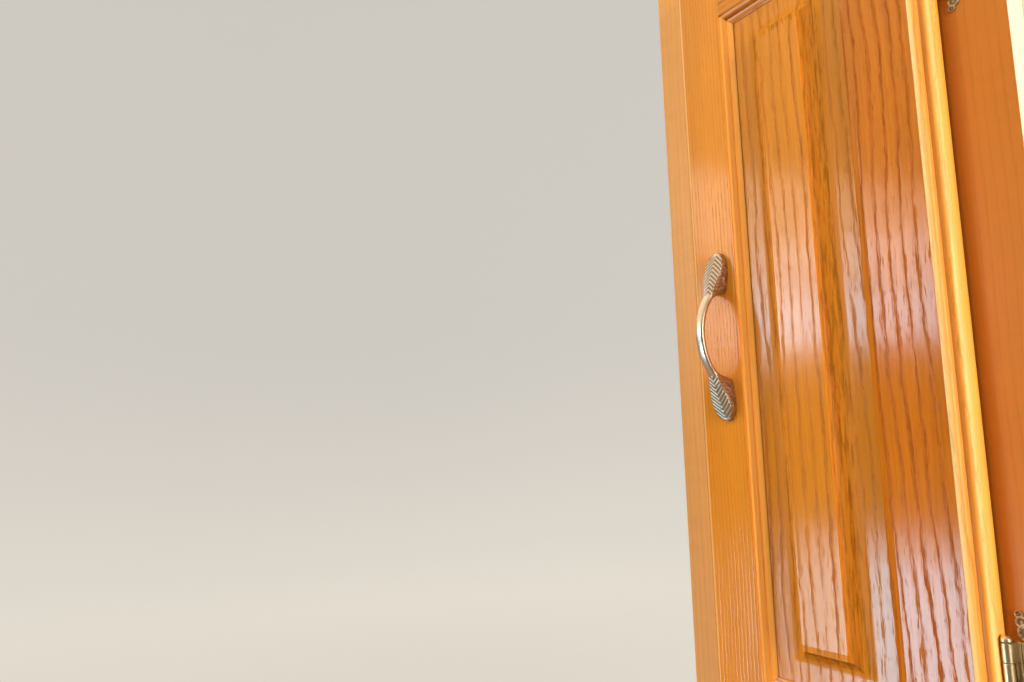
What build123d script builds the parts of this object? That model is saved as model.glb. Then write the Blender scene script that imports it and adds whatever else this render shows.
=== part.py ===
from build123d import *
import os
from math import sqrt

os.makedirs("parts", exist_ok=True)

# A tall, narrow, floor-to-ceiling oak cabinet with two raised-panel overlay doors.
# Frame: +X to the right as seen from the front, +Y into the cabinet, +Z up.
# Origin: bottom centre of the whole cabinet, doors and handles included.

# ---------------------------------------------------------------- driving sizes (mm)
CAB_W = 305.0          # width over the sides
CAB_H = 1980.0         # floor to ceiling
CAB_D = 508.0          # front of the face frame to the back
SIDE_T = 12.0          # side panels
BACK_T = 6.0           # back panel
DECK_T = 12.0          # floor, middle and top decks, shelves
FRAME_T = 19.0         # face frame thickness
FRAME_STILE_W = 51.0   # face frame stiles
FIT = 0.3              # play round loose boards

DOOR_W = 224.0         # both doors
DOOR_T = 19.0
DOOR_GAP = 1.6         # between a closed door's back and the face frame
UPPER_Z0, UPPER_H = 1195.0, 648.0
LOWER_Z0, LOWER_H = 115.0, 1040.0
OVERLAY = 10.5         # how far a door laps the face frame

EDGE_IN = 10.5         # width of the moulding round a door's outer edge
RAIL_FLAT = 42.7       # flat of a door's stiles and rails
STICK_W = 9.5          # width of the moulding round a door's panel
MID_FLAT = 102.0       # flat of the lower door's middle rail
GROOVE_TOP, GROOVE_BOT = 6.6, 13.8     # panel groove, depths from the door's front
PANEL_TOP, PANEL_BOT = 7.2, 13.5       # panel's margin and back, depths from the door's front
PANEL_TONGUE = 7.8     # how far the panel runs into its groove
FIELD_OUT = 1.8        # the raised field stands this far in front of the door's front
FIELD_STEP = 1.0       # crisp step round the field
FIELD_IN_X = 30.7      # from the opening's edge to the field's edge, sideways
FIELD_IN_Z = 26.2      # the same, up and down
SLOPE_W = 10.8         # width of the hollow slope round the field

HANDLE_X = -76.0       # centre line of the handles
HANDLE_L = 138.0
HANDLE_OUT = 28.0      # grip's front, from the door's front
HANDLE_CC = 96.0       # centres of the two screws
GRIP_W = 8.0

HINGE_X = 115.4        # barrel axis
HINGE_OUT = 7.8        # barrel axis, in front of the face frame
BARREL_R = 3.3
PIN_R = 1.55
PIN_PLAY = 0.05        # radial clearance of a pin in its knuckles
KNUCKLES = 5
BARREL_L = 56.0
LEAF_T = 1.2

# ---------------------------------------------------------------- places worked out from them
FRONT_OUT = DOOR_GAP + DOOR_T + HANDLE_OUT
Y_FRAME = (FRONT_OUT - CAB_D) / 2          # front of the face frame
Y_BACK = Y_FRAME + CAB_D                   # back of the cabinet
Y_INNER = Y_BACK - BACK_T                  # front of the back panel
Y_DOOR_BACK = Y_FRAME - DOOR_GAP
Y_DOOR = Y_DOOR_BACK - DOOR_T              # flat front of the doors
HINGE_Y = Y_FRAME - HINGE_OUT
HALF_W = CAB_W / 2
IN_X = HALF_W - SIDE_T                     # inner faces of the sides
OPEN_X = HALF_W - FRAME_STILE_W            # edges of the face frame's openings
DOOR_X = DOOR_W / 2
STICK_X = DOOR_X - EDGE_IN - RAIL_FLAT     # outer line of the moulding round the panel
GAP_X = STICK_X - STICK_W                  # edge of the panel opening

UPPER_Z1 = UPPER_Z0 + UPPER_H
LOWER_Z1 = LOWER_Z0 + LOWER_H
BASE_TOP = LOWER_Z0 + OVERLAY              # tops and bottoms of the face frame's rails
MID_BOT = LOWER_Z1 - OVERLAY
MID_TOP = UPPER_Z0 + OVERLAY
HEAD_BOT = UPPER_Z1 - OVERLAY
FLOOR_TOP = BASE_TOP - 8.0                 # top faces of the decks
MID_DECK_TOP = (LOWER_Z1 + UPPER_Z0) / 2


def save(part, name):
    part.label = name
    export_step(part, "parts/" + name + ".step")


def board(name, x, y, z):
    """A plain board between x, y and z limits."""
    with BuildPart() as made:
        with BuildSketch(Plane.XY.offset(z[0])):
            with Locations(((x[0] + x[1]) / 2, (y[0] + y[1]) / 2)):
                Rectangle(x[1] - x[0], y[1] - y[0])
        extrude(amount=z[1] - z[0])
    save(made.part, name)
    return made.part


def boards(name, rows):
    """Several boards that don't touch, kept together."""
    with BuildPart() as made:
        for x, y, z in rows:
            with BuildSketch(Plane.XY.offset(z[0])):
                with Locations(((x[0] + x[1]) / 2, (y[0] + y[1]) / 2)):
                    Rectangle(x[1] - x[0], y[1] - y[0])
            extrude(amount=z[1] - z[0])
    save(made.part, name)
    return made.part


# ---------------------------------------------------------------- carcass
SCREW_R = 2.5                       # wall screws
SCREW_DX, SCREW_DZ = 180.0, 1785.0  # their pattern
SCREW_ZC = 1042.5
NAILER_H, NAILER_T = 64.0, 19.0

# columns: name, x limits, y limits, z limits
PANELS = [
    ("left_side_panel", (-HALF_W, -IN_X), (Y_FRAME + FRAME_T, Y_BACK), (0, CAB_H)),
    ("right_side_panel", (IN_X, HALF_W), (Y_FRAME + FRAME_T, Y_BACK), (0, CAB_H)),
    ("top_panel", (-IN_X, IN_X), (Y_FRAME + FRAME_T, Y_INNER), (CAB_H - DECK_T, CAB_H)),
    ("floor_deck", (-IN_X, IN_X), (Y_FRAME + FRAME_T, Y_INNER), (FLOOR_TOP - DECK_T, FLOOR_TOP)),
    ("middle_deck", (-IN_X, IN_X), (Y_FRAME + FRAME_T, Y_INNER), (MID_DECK_TOP - DECK_T, MID_DECK_TOP)),
]
for name, x, y, z in PANELS:
    board(name, x, y, z)

# columns: name, x limits, y limits, z limits; each is drilled for two of the wall screws
DRILLED = [
    ("back_panel", (-IN_X, IN_X), (Y_INNER, Y_BACK), (0, CAB_H)),
    ("top_nailer", (-IN_X, IN_X), (Y_INNER - NAILER_T, Y_INNER),
     (SCREW_ZC + SCREW_DZ / 2 - NAILER_H / 2, SCREW_ZC + SCREW_DZ / 2 + NAILER_H / 2)),
    ("bottom_nailer", (-IN_X, IN_X), (Y_INNER - NAILER_T, Y_INNER),
     (SCREW_ZC - SCREW_DZ / 2 - NAILER_H / 2, SCREW_ZC - SCREW_DZ / 2 + NAILER_H / 2)),
]
for name, x, y, z in DRILLED:
    with BuildPart() as made:
        with BuildSketch(Plane.XY.offset(z[0])):
            with Locations(((x[0] + x[1]) / 2, (y[0] + y[1]) / 2)):
                Rectangle(x[1] - x[0], y[1] - y[0])
        extrude(amount=z[1] - z[0])
        with BuildSketch(Plane.XZ.offset(-Y_BACK - 1)):
            for sx in (-1, 1):
                for sz in (-1, 1):
                    zc = SCREW_ZC + sz * SCREW_DZ / 2
                    if z[0] < zc < z[1]:
                        with Locations((sx * SCREW_DX / 2, zc)):
                            Circle(SCREW_R)
        extrude(amount=40, mode=Mode.SUBTRACT)
    save(made.part, name)

# shelves, the strips that carry them and the low rails along their front edges
SHELF_Y = (Y_FRAME + FRAME_T + 17.0, Y_INNER - FIT)
LIP_H, LIP_T = 38.0, 11.5
CLEAT_T, CLEAT_H = 12.0, 18.0
# columns: name, height of the shelf's top face
SHELVES = [
    ("upper_compartment_high_shelf", 1712.0),
    ("upper_compartment_low_shelf", 1444.0),
    ("lower_compartment_high_shelf", 818.0),
    ("lower_compartment_low_shelf", 468.0),
]
for name, top in SHELVES:
    board(name, (-IN_X + FIT, IN_X - FIT), SHELF_Y, (top - DECK_T, top))
boards("shelf_front_rails", [
    ((-IN_X + FIT, IN_X - FIT), (SHELF_Y[0] - LIP_T, SHELF_Y[0]), (top - DECK_T, top - DECK_T + LIP_H))
    for name, top in SHELVES])
boards("shelf_cleats", [
    ((side * IN_X - CLEAT_T / 2 - side * CLEAT_T / 2, side * IN_X + CLEAT_T / 2 - side * CLEAT_T / 2),
     (SHELF_Y[0] + 6, SHELF_Y[1] - 20), (top - DECK_T - CLEAT_H, top - DECK_T))
    for name, top in SHELVES for side in (-1, 1)])
boards("deck_cleats", [
    ((side * IN_X - CLEAT_T / 2 - side * CLEAT_T / 2, side * IN_X + CLEAT_T / 2 - side * CLEAT_T / 2),
     (Y_FRAME + FRAME_T + 6, Y_INNER - 20), (top - DECK_T - CLEAT_H, top - DECK_T))
    for top in (FLOOR_TOP, MID_DECK_TOP) for side in (-1, 1)])

# ---------------------------------------------------------------- face frame
# columns: name, x limits, z limits
FACE_FRAME = [
    ("face_frame_left_stile", (-HALF_W, -OPEN_X), (0, CAB_H)),
    ("face_frame_right_stile", (OPEN_X, HALF_W), (0, CAB_H)),
    ("face_frame_top_rail", (-OPEN_X, OPEN_X), (HEAD_BOT, CAB_H)),
    ("face_frame_middle_rail", (-OPEN_X, OPEN_X), (MID_BOT, MID_TOP)),
    ("face_frame_bottom_rail", (-OPEN_X, OPEN_X), (0, BASE_TOP)),
]
for name, x, z in FACE_FRAME:
    board(name, x, (Y_FRAME, Y_FRAME + FRAME_T), z)

# ---------------------------------------------------------------- door mouldings
# Each runs outwards or inwards from a flat, as a chain of lines and rounded quarters.
# columns: kind, distance across from the start line, depth from the door's front
EDGE_PROFILE = [             # from the flat to the door's outer edge
    ("round", 5.0, 5.0), ("line", 6.5, 5.0), ("round", 10.5, 9.0), ("line", 10.5, DOOR_T)]
STICK_PROFILE = [            # from the flat to the panel opening
    ("line", 0.0, 0.8), ("line", 0.5, 0.8), ("round", 4.5, 4.8), ("line", 7.9, 5.7), ("line", 9.5, 6.6),
    ("line", 9.5, DOOR_T + 1)]


def chain(profile, start, way, point):
    """Draws a moulding's profile; way is +1 towards the edge and -1 towards the centre."""
    across, depth = 0.0, 0.0
    for kind, to_across, to_depth in profile:
        a, b = point(start + way * across, depth), point(start + way * to_across, to_depth)
        if kind == "line":
            Line(a, b)
        else:
            run = to_across - across
            mid = point(start + way * (across + run / sqrt(2)), to_depth - (to_depth - depth) / sqrt(2))
            ThreePointArc(a, mid, b)
        across, depth = to_across, to_depth


def slab(half, profile, plane, point, length):
    """A solid bounded by a profile on both sides of its middle, run along the plane's normal."""
    with BuildPart() as made:
        with BuildSketch(plane):
            with BuildLine():
                for side in (-1, 1):
                    chain(profile, side * half, side, point)
                Line(point(-half, 0), point(half, 0))
                last = profile[-1]
                Line(point(-half - last[1], last[2]), point(half + last[1], last[2]))
            make_face()
        extrude(amount=length)
    return made.part


def door_blank(z0, height, openings):
    """The whole frame of a door, before it is parted into its stiles and rails."""
    zc = z0 + height / 2
    across = slab(DOOR_X - EDGE_IN, EDGE_PROFILE, Plane.XY.offset(z0 - 5),
                  lambda a, d: (a, Y_DOOR + d), height + 10)
    along = slab(height / 2 - EDGE_IN, EDGE_PROFILE, Plane.YZ.offset(-DOOR_X - 5),
                 lambda a, d: (Y_DOOR + d, zc + a), DOOR_W + 10)
    with BuildPart() as made:
        add(across)
        add(along, mode=Mode.INTERSECT)
        for low, high in openings:
            # low and high are the outer lines of the moulding round one panel
            mid, half = (low + high) / 2, (high - low) / 2
            add(opening_cut(mid, half), mode=Mode.SUBTRACT)
            with BuildSketch(Plane.XZ.offset(-(Y_DOOR + GROOVE_TOP))):
                with Locations((0, mid)):
                    Rectangle(2 * STICK_X, 2 * half)
            extrude(amount=-(GROOVE_BOT - GROOVE_TOP), mode=Mode.SUBTRACT)
    return made.part


def opening_cut(mid, half):
    """The space a panel opening takes, moulding included, mitred at its corners."""
    across = opening_slab(STICK_X, Plane.XY.offset(mid - half - 5), lambda a, d: (a, Y_DOOR + d), 2 * half + 10)
    along = opening_slab(half, Plane.YZ.offset(-STICK_X - 5), lambda a, d: (Y_DOOR + d, mid + a), 2 * STICK_X + 10)
    with BuildPart() as made:
        add(across)
        add(along, mode=Mode.INTERSECT)
    return made.part


def opening_slab(half, plane, point, length):
    with BuildPart() as made:
        with BuildSketch(plane):
            with BuildLine():
                for side in (-1, 1):
                    Line(point(side * half, -1), point(side * half, 0))
                    chain(STICK_PROFILE, side * half, -side, point)
                Line(point(-half, -1), point(half, -1))
                last = STICK_PROFILE[-1]
                Line(point(-half + last[1], last[2]), point(half - last[1], last[2]))
            make_face()
        extrude(amount=length)
    return made.part


def door_piece(name, blank, outline, holes=()):
    """One stile or rail: the part of the blank inside an outline seen from the front."""
    with BuildPart() as made:
        add(blank)
        with BuildSketch(Plane.XZ.offset(-(Y_DOOR - 5))):
            with BuildLine():
                Polyline(outline, close=True)
            make_face()
        extrude(amount=-(DOOR_T + 10), mode=Mode.INTERSECT)
        if holes:
            with BuildSketch(Plane.XZ.offset(-(Y_DOOR - 5))):
                with Locations(*holes):
                    Circle(HANDLE_SCREW_R + 0.1)
            extrude(amount=-(DOOR_T + 10), mode=Mode.SUBTRACT)
    save(made.part, name)
    return made.part


def stile_outline(side, z0, z1, openings):
    """A stile runs the door's whole height; its moulding is mitred at each opening."""
    pts = [(side * (DOOR_X + 2), z0 - 2), (side * STICK_X, z0 - 2)]
    for low, high in openings:
        pts += [(side * STICK_X, low), (side * GAP_X, low + STICK_W),
                (side * GAP_X, high - STICK_W), (side * STICK_X, high)]
    pts += [(side * STICK_X, z1 + 2), (side * (DOOR_X + 2), z1 + 2)]
    return pts


def rail_outline(bottom, top, mitre_bottom, mitre_top):
    """A rail lies between the stiles; mitre_bottom or mitre_top is where a panel meets it."""
    pts = [(-STICK_X, bottom)]
    if mitre_bottom:
        pts += [(-GAP_X, bottom - STICK_W), (GAP_X, bottom - STICK_W)]
    pts += [(STICK_X, bottom), (STICK_X, top)]
    if mitre_top:
        pts += [(GAP_X, top + STICK_W), (-GAP_X, top + STICK_W)]
    pts += [(-STICK_X, top)]
    return pts


def raised_slab(half, field_in, plane, point, length):
    """Section of a raised panel: tongue, margin, hollow slope, step and field."""
    field = half - field_in
    slope = field + SLOPE_W
    edge = half + PANEL_TONGUE
    drop = PANEL_TOP + FIELD_OUT - FIELD_STEP
    radius = (SLOPE_W ** 2 + drop ** 2) / (2 * drop)
    # a point half way along the hollow, whose centre stands in front of the slope's foot
    reach = SLOPE_W / 2
    rise = radius - sqrt(radius ** 2 - reach ** 2)
    with BuildPart() as made:
        with BuildSketch(plane):
            with BuildLine():
                for side in (-1, 1):
                    Line(point(side * field, -FIELD_OUT), point(side * field, -FIELD_OUT + FIELD_STEP))
                    ThreePointArc(point(side * field, -FIELD_OUT + FIELD_STEP),
                                  point(side * (slope - reach), PANEL_TOP - rise),
                                  point(side * slope, PANEL_TOP))
                    Line(point(side * slope, PANEL_TOP), point(side * edge, PANEL_TOP))
                    Line(point(side * edge, PANEL_TOP), point(side * edge, PANEL_BOT))
                Line(point(-field, -FIELD_OUT), point(field, -FIELD_OUT))
                Line(point(-edge, PANEL_BOT), point(edge, PANEL_BOT))
            make_face()
        extrude(amount=length)
    return made.part


def raised_panel(name, low, high):
    mid, half = (low + high) / 2, (high - low) / 2 - STICK_W
    across = raised_slab(GAP_X, FIELD_IN_X, Plane.XY.offset(mid - half - 20), lambda a, d: (a, Y_DOOR + d), 2 * half + 40)
    along = raised_slab(half, FIELD_IN_Z, Plane.YZ.offset(-GAP_X - 20), lambda a, d: (Y_DOOR + d, mid + a), 2 * GAP_X + 40)
    with BuildPart() as made:
        add(across)
        add(along, mode=Mode.INTERSECT)
    save(made.part, name)
    return made.part


# ---------------------------------------------------------------- handles
HANDLE_SCREW_R = 2.0
PAD_L, PAD_W, PAD_T = 38.0, 19.0, 4.2
PAD_TIP_OUT = 2.6       # a leaf's tip, from the door's front to its outer face
PAD_ROOT_OUT = 17.0     # a leaf's root
FOOT_HALF_W, FOOT_HALF_L = 8.8, 15.3   # a foot's outline on the door, under its leaf
FOOT_AT = 51.0                         # its middle, from the handle's middle


def handle(name, zc):
    """A cast pull: an arched grip between two leaf-shaped ends, each on a foot."""
    half = HANDLE_L / 2
    root = half - PAD_L
    run = sqrt(PAD_L ** 2 + (PAD_ROOT_OUT - PAD_TIP_OUT) ** 2)   # a leaf's own length
    fall = (PAD_ROOT_OUT - PAD_TIP_OUT) / PAD_L
    under = PAD_T * run / PAD_L                                   # a leaf's thickness, straight out of the door
    with BuildPart() as made:
        # arched grip, drawn from the side
        with BuildSketch(Plane.YZ.offset(HANDLE_X - GRIP_W / 2)):
            with BuildLine():
                outer = [(Y_DOOR - PAD_ROOT_OUT + 0.8, zc - root - 2), (Y_DOOR - HANDLE_OUT, zc),
                         (Y_DOOR - PAD_ROOT_OUT + 0.8, zc + root + 2)]
                inner = [(Y_DOOR - PAD_ROOT_OUT + 5.0, zc - root - 2), (Y_DOOR - HANDLE_OUT + 4.6, zc),
                         (Y_DOOR - PAD_ROOT_OUT + 5.0, zc + root + 2)]
                ThreePointArc(*outer)
                ThreePointArc(*inner)
                Line(outer[0], inner[0])
                Line(outer[2], inner[2])
            make_face()
        extrude(amount=GRIP_W)
        # columns: which end, up or down
        for end in (-1, 1):
            # the leaf's outer face lies on a plane that slopes from its root down to its tip
            middle = (HANDLE_X, Y_DOOR - (PAD_ROOT_OUT + PAD_TIP_OUT) / 2, zc + end * (root + PAD_L / 2))
            along = Vector(0, PAD_ROOT_OUT - PAD_TIP_OUT, end * PAD_L).normalized()
            leaf = Plane(origin=middle, x_dir=(1, 0, 0), z_dir=Vector(1, 0, 0).cross(along))
            up = 1 if leaf.y_dir.dot(along) > 0 else -1
            with BuildSketch(leaf):
                with BuildLine():
                    tip, wide, neck = up * run / 2, up * run * 0.12, -up * run / 2
                    for side in (-1, 1):
                        ThreePointArc((side * 2.2, tip), (side * PAD_W * 0.38, up * run * 0.37), (side * PAD_W / 2, wide))
                        ThreePointArc((side * PAD_W / 2, wide), (side * PAD_W * 0.42, -up * run * 0.20),
                                      (side * GRIP_W / 2, neck))
                    Line((-2.2, tip), (2.2, tip))
                    Line((-GRIP_W / 2, neck), (GRIP_W / 2, neck))
                make_face()
            outward = -1 if leaf.z_dir.Y > 0 else 1
            extrude(amount=-outward * PAD_T)
            # the foot fills the wedge between the leaf and the door, inside an oval outline
            near = FOOT_AT - FOOT_HALF_L - 1
            far = root + (PAD_ROOT_OUT - under + 0.4) / fall
            with BuildPart(mode=Mode.PRIVATE) as foot:
                with BuildSketch(Plane.YZ.offset(HANDLE_X - PAD_W / 2)):
                    with BuildLine():
                        Polyline((Y_DOOR, zc + end * near), (Y_DOOR, zc + end * far),
                                 (Y_DOOR - (PAD_ROOT_OUT - fall * (near - root) - under + 0.4), zc + end * near), close=True)
                    make_face()
                extrude(amount=PAD_W)
                with BuildSketch(Plane.XZ.offset(-Y_DOOR)):
                    with Locations((HANDLE_X, zc + end * FOOT_AT)):
                        Ellipse(FOOT_HALF_W, FOOT_HALF_L)
                extrude(amount=PAD_ROOT_OUT, mode=Mode.INTERSECT)
            add(foot.part)
        # nothing of the leaves lies inside the door
        with BuildSketch(Plane.XZ.offset(-Y_DOOR)):
            with Locations((HANDLE_X, zc)):
                Rectangle(60, 200)
        extrude(amount=-30, mode=Mode.SUBTRACT)
        # blind threaded holes for the two screws
        with BuildSketch(Plane.XZ.offset(-Y_DOOR)):
            with Locations((HANDLE_X, zc - HANDLE_CC / 2), (HANDLE_X, zc + HANDLE_CC / 2)):
                Circle(HANDLE_SCREW_R + 0.05)
        extrude(amount=4.6, mode=Mode.SUBTRACT)
    save(made.part, name)
    return made.part


def handle_screws(name, zc):
    with BuildPart() as made:
        for end in (-1, 1):
            with BuildSketch(Plane.XZ.offset(-Y_DOOR_BACK)):
                with Locations((HANDLE_X, zc + end * HANDLE_CC / 2)):
                    Circle(4.0)
            extrude(amount=-2.2)
            with BuildSketch(Plane.XZ.offset(-Y_DOOR_BACK)):
                with Locations((HANDLE_X, zc + end * HANDLE_CC / 2)):
                    Circle(HANDLE_SCREW_R)
            extrude(amount=DOOR_T + 4.4)
    save(made.part, name)
    return made.part


# ---------------------------------------------------------------- hinges
KNUCKLE_L = BARREL_L / KNUCKLES
WEB_IN = BARREL_R - LEAF_T
WING_X1 = 134.5                       # outer edge of the wing on the face frame
WING_T = 1.5
DOOR_LEAF_X0 = 88.0                   # inner edge of the leaf behind the door
# columns: distance of a lobe's centre from the barrel, distance up from the hinge's middle, radius
FINIAL = [(8.2, 33.5, 5.6), (6.2, 39.2, 3.9), (4.6, 43.6, 2.4)]


def hinge_leaf(name, zc, on_door):
    """One leaf with its share of the knuckles; the frame's leaf has ornamental ends."""
    mine = [k for k in range(KNUCKLES) if (k % 2 == 1) == on_door]
    with BuildPart() as made:
        if on_door:
            with BuildSketch(Plane.XY.offset(zc - BARREL_L / 2)):
                with Locations(((DOOR_LEAF_X0 + HINGE_X - WEB_IN) / 2, Y_DOOR_BACK + LEAF_T / 2)):
                    Rectangle(HINGE_X - WEB_IN - DOOR_LEAF_X0, LEAF_T)
            extrude(amount=BARREL_L)
        else:
            with BuildSketch(Plane.XZ.offset(-Y_FRAME)):
                with Locations(((HINGE_X + WEB_IN + WING_X1) / 2, zc)):
                    Rectangle(WING_X1 - HINGE_X - WEB_IN, BARREL_L)
                for away, up, radius in FINIAL:
                    with Locations((HINGE_X + away, zc + up), (HINGE_X + away, zc - up)):
                        Circle(radius)
            extrude(amount=WING_T)
        for k in mine:
            z = zc - BARREL_L / 2 + k * KNUCKLE_L + 0.15
            side = -1 if on_door else 1
            foot = Y_DOOR_BACK + LEAF_T if on_door else Y_FRAME
            with BuildSketch(Plane.XY.offset(z)):
                with Locations((HINGE_X, HINGE_Y)):
                    Circle(BARREL_R)
                with Locations((HINGE_X + side * (BARREL_R - LEAF_T / 2), (HINGE_Y + foot) / 2)):
                    Rectangle(LEAF_T, foot - HINGE_Y)
            extrude(amount=KNUCKLE_L - 0.3)
        with BuildSketch(Plane.XY.offset(zc - BARREL_L)):
            with Locations((HINGE_X, HINGE_Y)):
                Circle(PIN_R + PIN_PLAY)
        extrude(amount=2 * BARREL_L, mode=Mode.SUBTRACT)
    save(made.part, name)
    return made.part


def hinge_pin(zc):
    """A pin with a rounded tip at each end."""
    reach, tip = BARREL_L / 2 + 0.1, 4.0
    with BuildPart() as made:
        with BuildSketch(Plane.XY.offset(zc - reach)):
            with Locations((HINGE_X, HINGE_Y)):
                Circle(PIN_R)
        extrude(amount=2 * reach)
        for low in (zc - reach - tip, zc + reach):
            with BuildSketch(Plane.XY.offset(low)):
                with Locations((HINGE_X, HINGE_Y)):
                    Circle(BARREL_R)
            extrude(amount=tip)
        rims = made.edges().filter_by(GeomType.CIRCLE).group_by(Axis.Z)
        fillet([*rims[0], *rims[-1]], 2.6)
    return made.part


def hinge_pins(name, centres):
    pins = [hinge_pin(zc) for zc in centres]
    with BuildPart() as made:
        for pin in pins:
            add(pin)
    save(made.part, name)
    return made.part


# ---------------------------------------------------------------- small fittings behind the doors
CATCH_Y = 22.0
CATCH_H = 36.0


def catch(name, zc):
    board(name, (-OPEN_X, -OPEN_X + 12), (Y_FRAME, Y_FRAME + CATCH_Y), (zc - CATCH_H / 2, zc + CATCH_H / 2))


def strike(name, zc):
    board(name, (-OPEN_X + 0.5, -OPEN_X + 11.5), (Y_DOOR_BACK, Y_DOOR_BACK + 1.3), (zc - 15, zc + 15))


def bumpers(name, z0, z1):
    with BuildPart() as made:
        with BuildSketch(Plane.XZ.offset(-Y_DOOR_BACK)):
            with Locations((-DOOR_X + 5.4, z0 + 5.4), (-DOOR_X + 5.4, z1 - 5.4)):
                Circle(4.4)
        extrude(amount=-(DOOR_GAP - FIT))
    save(made.part, name)
    return made.part


# ---------------------------------------------------------------- the two doors
EDGE_FLAT = EDGE_IN + RAIL_FLAT        # from a door's edge to the moulding round its panel
LOWER_MID = LOWER_Z0 + LOWER_H / 2
# columns: name, bottom, height, outer lines of the moulding round each panel (low, high), hinge heights
DOORS = [
    ("upper_door", UPPER_Z0, UPPER_H, [(UPPER_Z0 + EDGE_FLAT, UPPER_Z1 - EDGE_FLAT)],
     [UPPER_Z0 + 91.0, UPPER_Z1 - 91.0]),
    ("lower_door", LOWER_Z0, LOWER_H,
     [(LOWER_Z0 + EDGE_FLAT, LOWER_MID - MID_FLAT / 2), (LOWER_MID + MID_FLAT / 2, LOWER_Z1 - EDGE_FLAT)],
     [LOWER_Z0 + 91.0, LOWER_MID, LOWER_Z1 - 91.0]),
]
HINGE_NAMES = {2: ["bottom", "top"], 3: ["bottom", "middle", "top"]}

for door, z0, height, openings, hinges in DOORS:
    z1, zc = z0 + height, z0 + height / 2
    blank = door_blank(z0, height, openings)
    screw_holes = [(HANDLE_X, zc - HANDLE_CC / 2), (HANDLE_X, zc + HANDLE_CC / 2)]
    door_piece(door + "_left_stile", blank, stile_outline(-1, z0, z1, openings), screw_holes)
    door_piece(door + "_right_stile", blank, stile_outline(1, z0, z1, openings))
    door_piece(door + "_bottom_rail", blank, rail_outline(z0 - 2, openings[0][0], False, True))
    door_piece(door + "_top_rail", blank, rail_outline(openings[-1][1], z1 + 2, True, False))
    if len(openings) == 2:
        door_piece(door + "_middle_rail", blank, rail_outline(openings[0][1], openings[1][0], True, True))
        raised_panel(door + "_bottom_panel", *openings[0])
        raised_panel(door + "_top_panel", *openings[1])
    else:
        raised_panel(door + "_panel", *openings[0])
    handle(door + "_handle", zc)
    handle_screws(door + "_handle_screws", zc)
    for place, hz in zip(HINGE_NAMES[len(hinges)], hinges):
        hinge_leaf(door + "_" + place + "_hinge_door_leaf", hz, True)
        hinge_leaf(door + "_" + place + "_hinge_frame_leaf", hz, False)
    hinge_pins(door + "_hinge_pins", hinges)
    catch(door + "_catch", zc - 100)
    strike(door + "_strike_plate", zc - 100)
    bumpers(door + "_bumpers", z0, z1)

print("face frame front y", Y_FRAME, "door front y", Y_DOOR, "back y", Y_BACK)
print("hinge axis", HINGE_X, HINGE_Y)
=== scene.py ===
import math

import bmesh
import bpy
from mathutils import Matrix, Vector


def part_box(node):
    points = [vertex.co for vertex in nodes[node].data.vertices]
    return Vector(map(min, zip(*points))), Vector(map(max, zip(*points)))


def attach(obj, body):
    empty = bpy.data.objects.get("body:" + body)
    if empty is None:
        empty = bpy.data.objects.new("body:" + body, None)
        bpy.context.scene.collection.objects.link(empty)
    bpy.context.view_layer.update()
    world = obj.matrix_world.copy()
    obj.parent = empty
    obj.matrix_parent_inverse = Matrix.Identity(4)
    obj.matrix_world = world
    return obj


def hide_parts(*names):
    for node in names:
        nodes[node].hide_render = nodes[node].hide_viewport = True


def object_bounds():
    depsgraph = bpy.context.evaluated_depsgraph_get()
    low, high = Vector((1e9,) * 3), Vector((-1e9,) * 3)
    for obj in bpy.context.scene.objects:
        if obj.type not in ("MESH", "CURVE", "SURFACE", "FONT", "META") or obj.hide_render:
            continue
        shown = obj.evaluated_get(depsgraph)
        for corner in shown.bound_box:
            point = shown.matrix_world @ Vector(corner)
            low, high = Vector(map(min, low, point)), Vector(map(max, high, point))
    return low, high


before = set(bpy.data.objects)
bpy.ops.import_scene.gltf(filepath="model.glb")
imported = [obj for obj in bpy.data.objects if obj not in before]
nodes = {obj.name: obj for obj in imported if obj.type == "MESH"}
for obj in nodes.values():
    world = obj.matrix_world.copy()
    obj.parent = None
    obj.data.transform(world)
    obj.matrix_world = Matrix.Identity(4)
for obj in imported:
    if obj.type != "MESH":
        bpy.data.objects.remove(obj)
cad_low, cad_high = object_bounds()
scene = bpy.context.scene
Socket = bpy.types.NodeSocket

# ---------------------------------------------------------------- places (m), as the frame's boxes give them
Y_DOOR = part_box("upper_door_left_stile")[0].y          # flat front of the doors
Y_DOOR_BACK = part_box("upper_door_left_stile")[1].y
Y_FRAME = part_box("face_frame_left_stile")[0].y         # front of the face frame
DOOR_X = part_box("upper_door_right_stile")[1].x
HALF_W = cad_high.x
TOP = cad_high.z


# ================================================================ camera
def put_camera():
    data = bpy.data.cameras.new("view_camera")
    cam = bpy.data.objects.new("view_camera", data)
    scene.collection.objects.link(cam)
    data.sensor_fit, data.sensor_width, data.lens = "HORIZONTAL", 36.0, 27.14
    data.clip_start, data.clip_end = 0.02, 60.0
    back = Vector((0.8505, -0.50954, -0.13127)).normalized()
    up = Vector((0.1271, -0.0429, 0.99094))
    up = (up - back * up.dot(back)).normalized()
    right = up.cross(back)
    m = Matrix((right, up, back)).transposed().to_4x4()
    m.translation = Vector((0.3729, -0.7212, 1.437))
    cam.matrix_world = m
    scene.camera = cam


put_camera()


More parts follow.
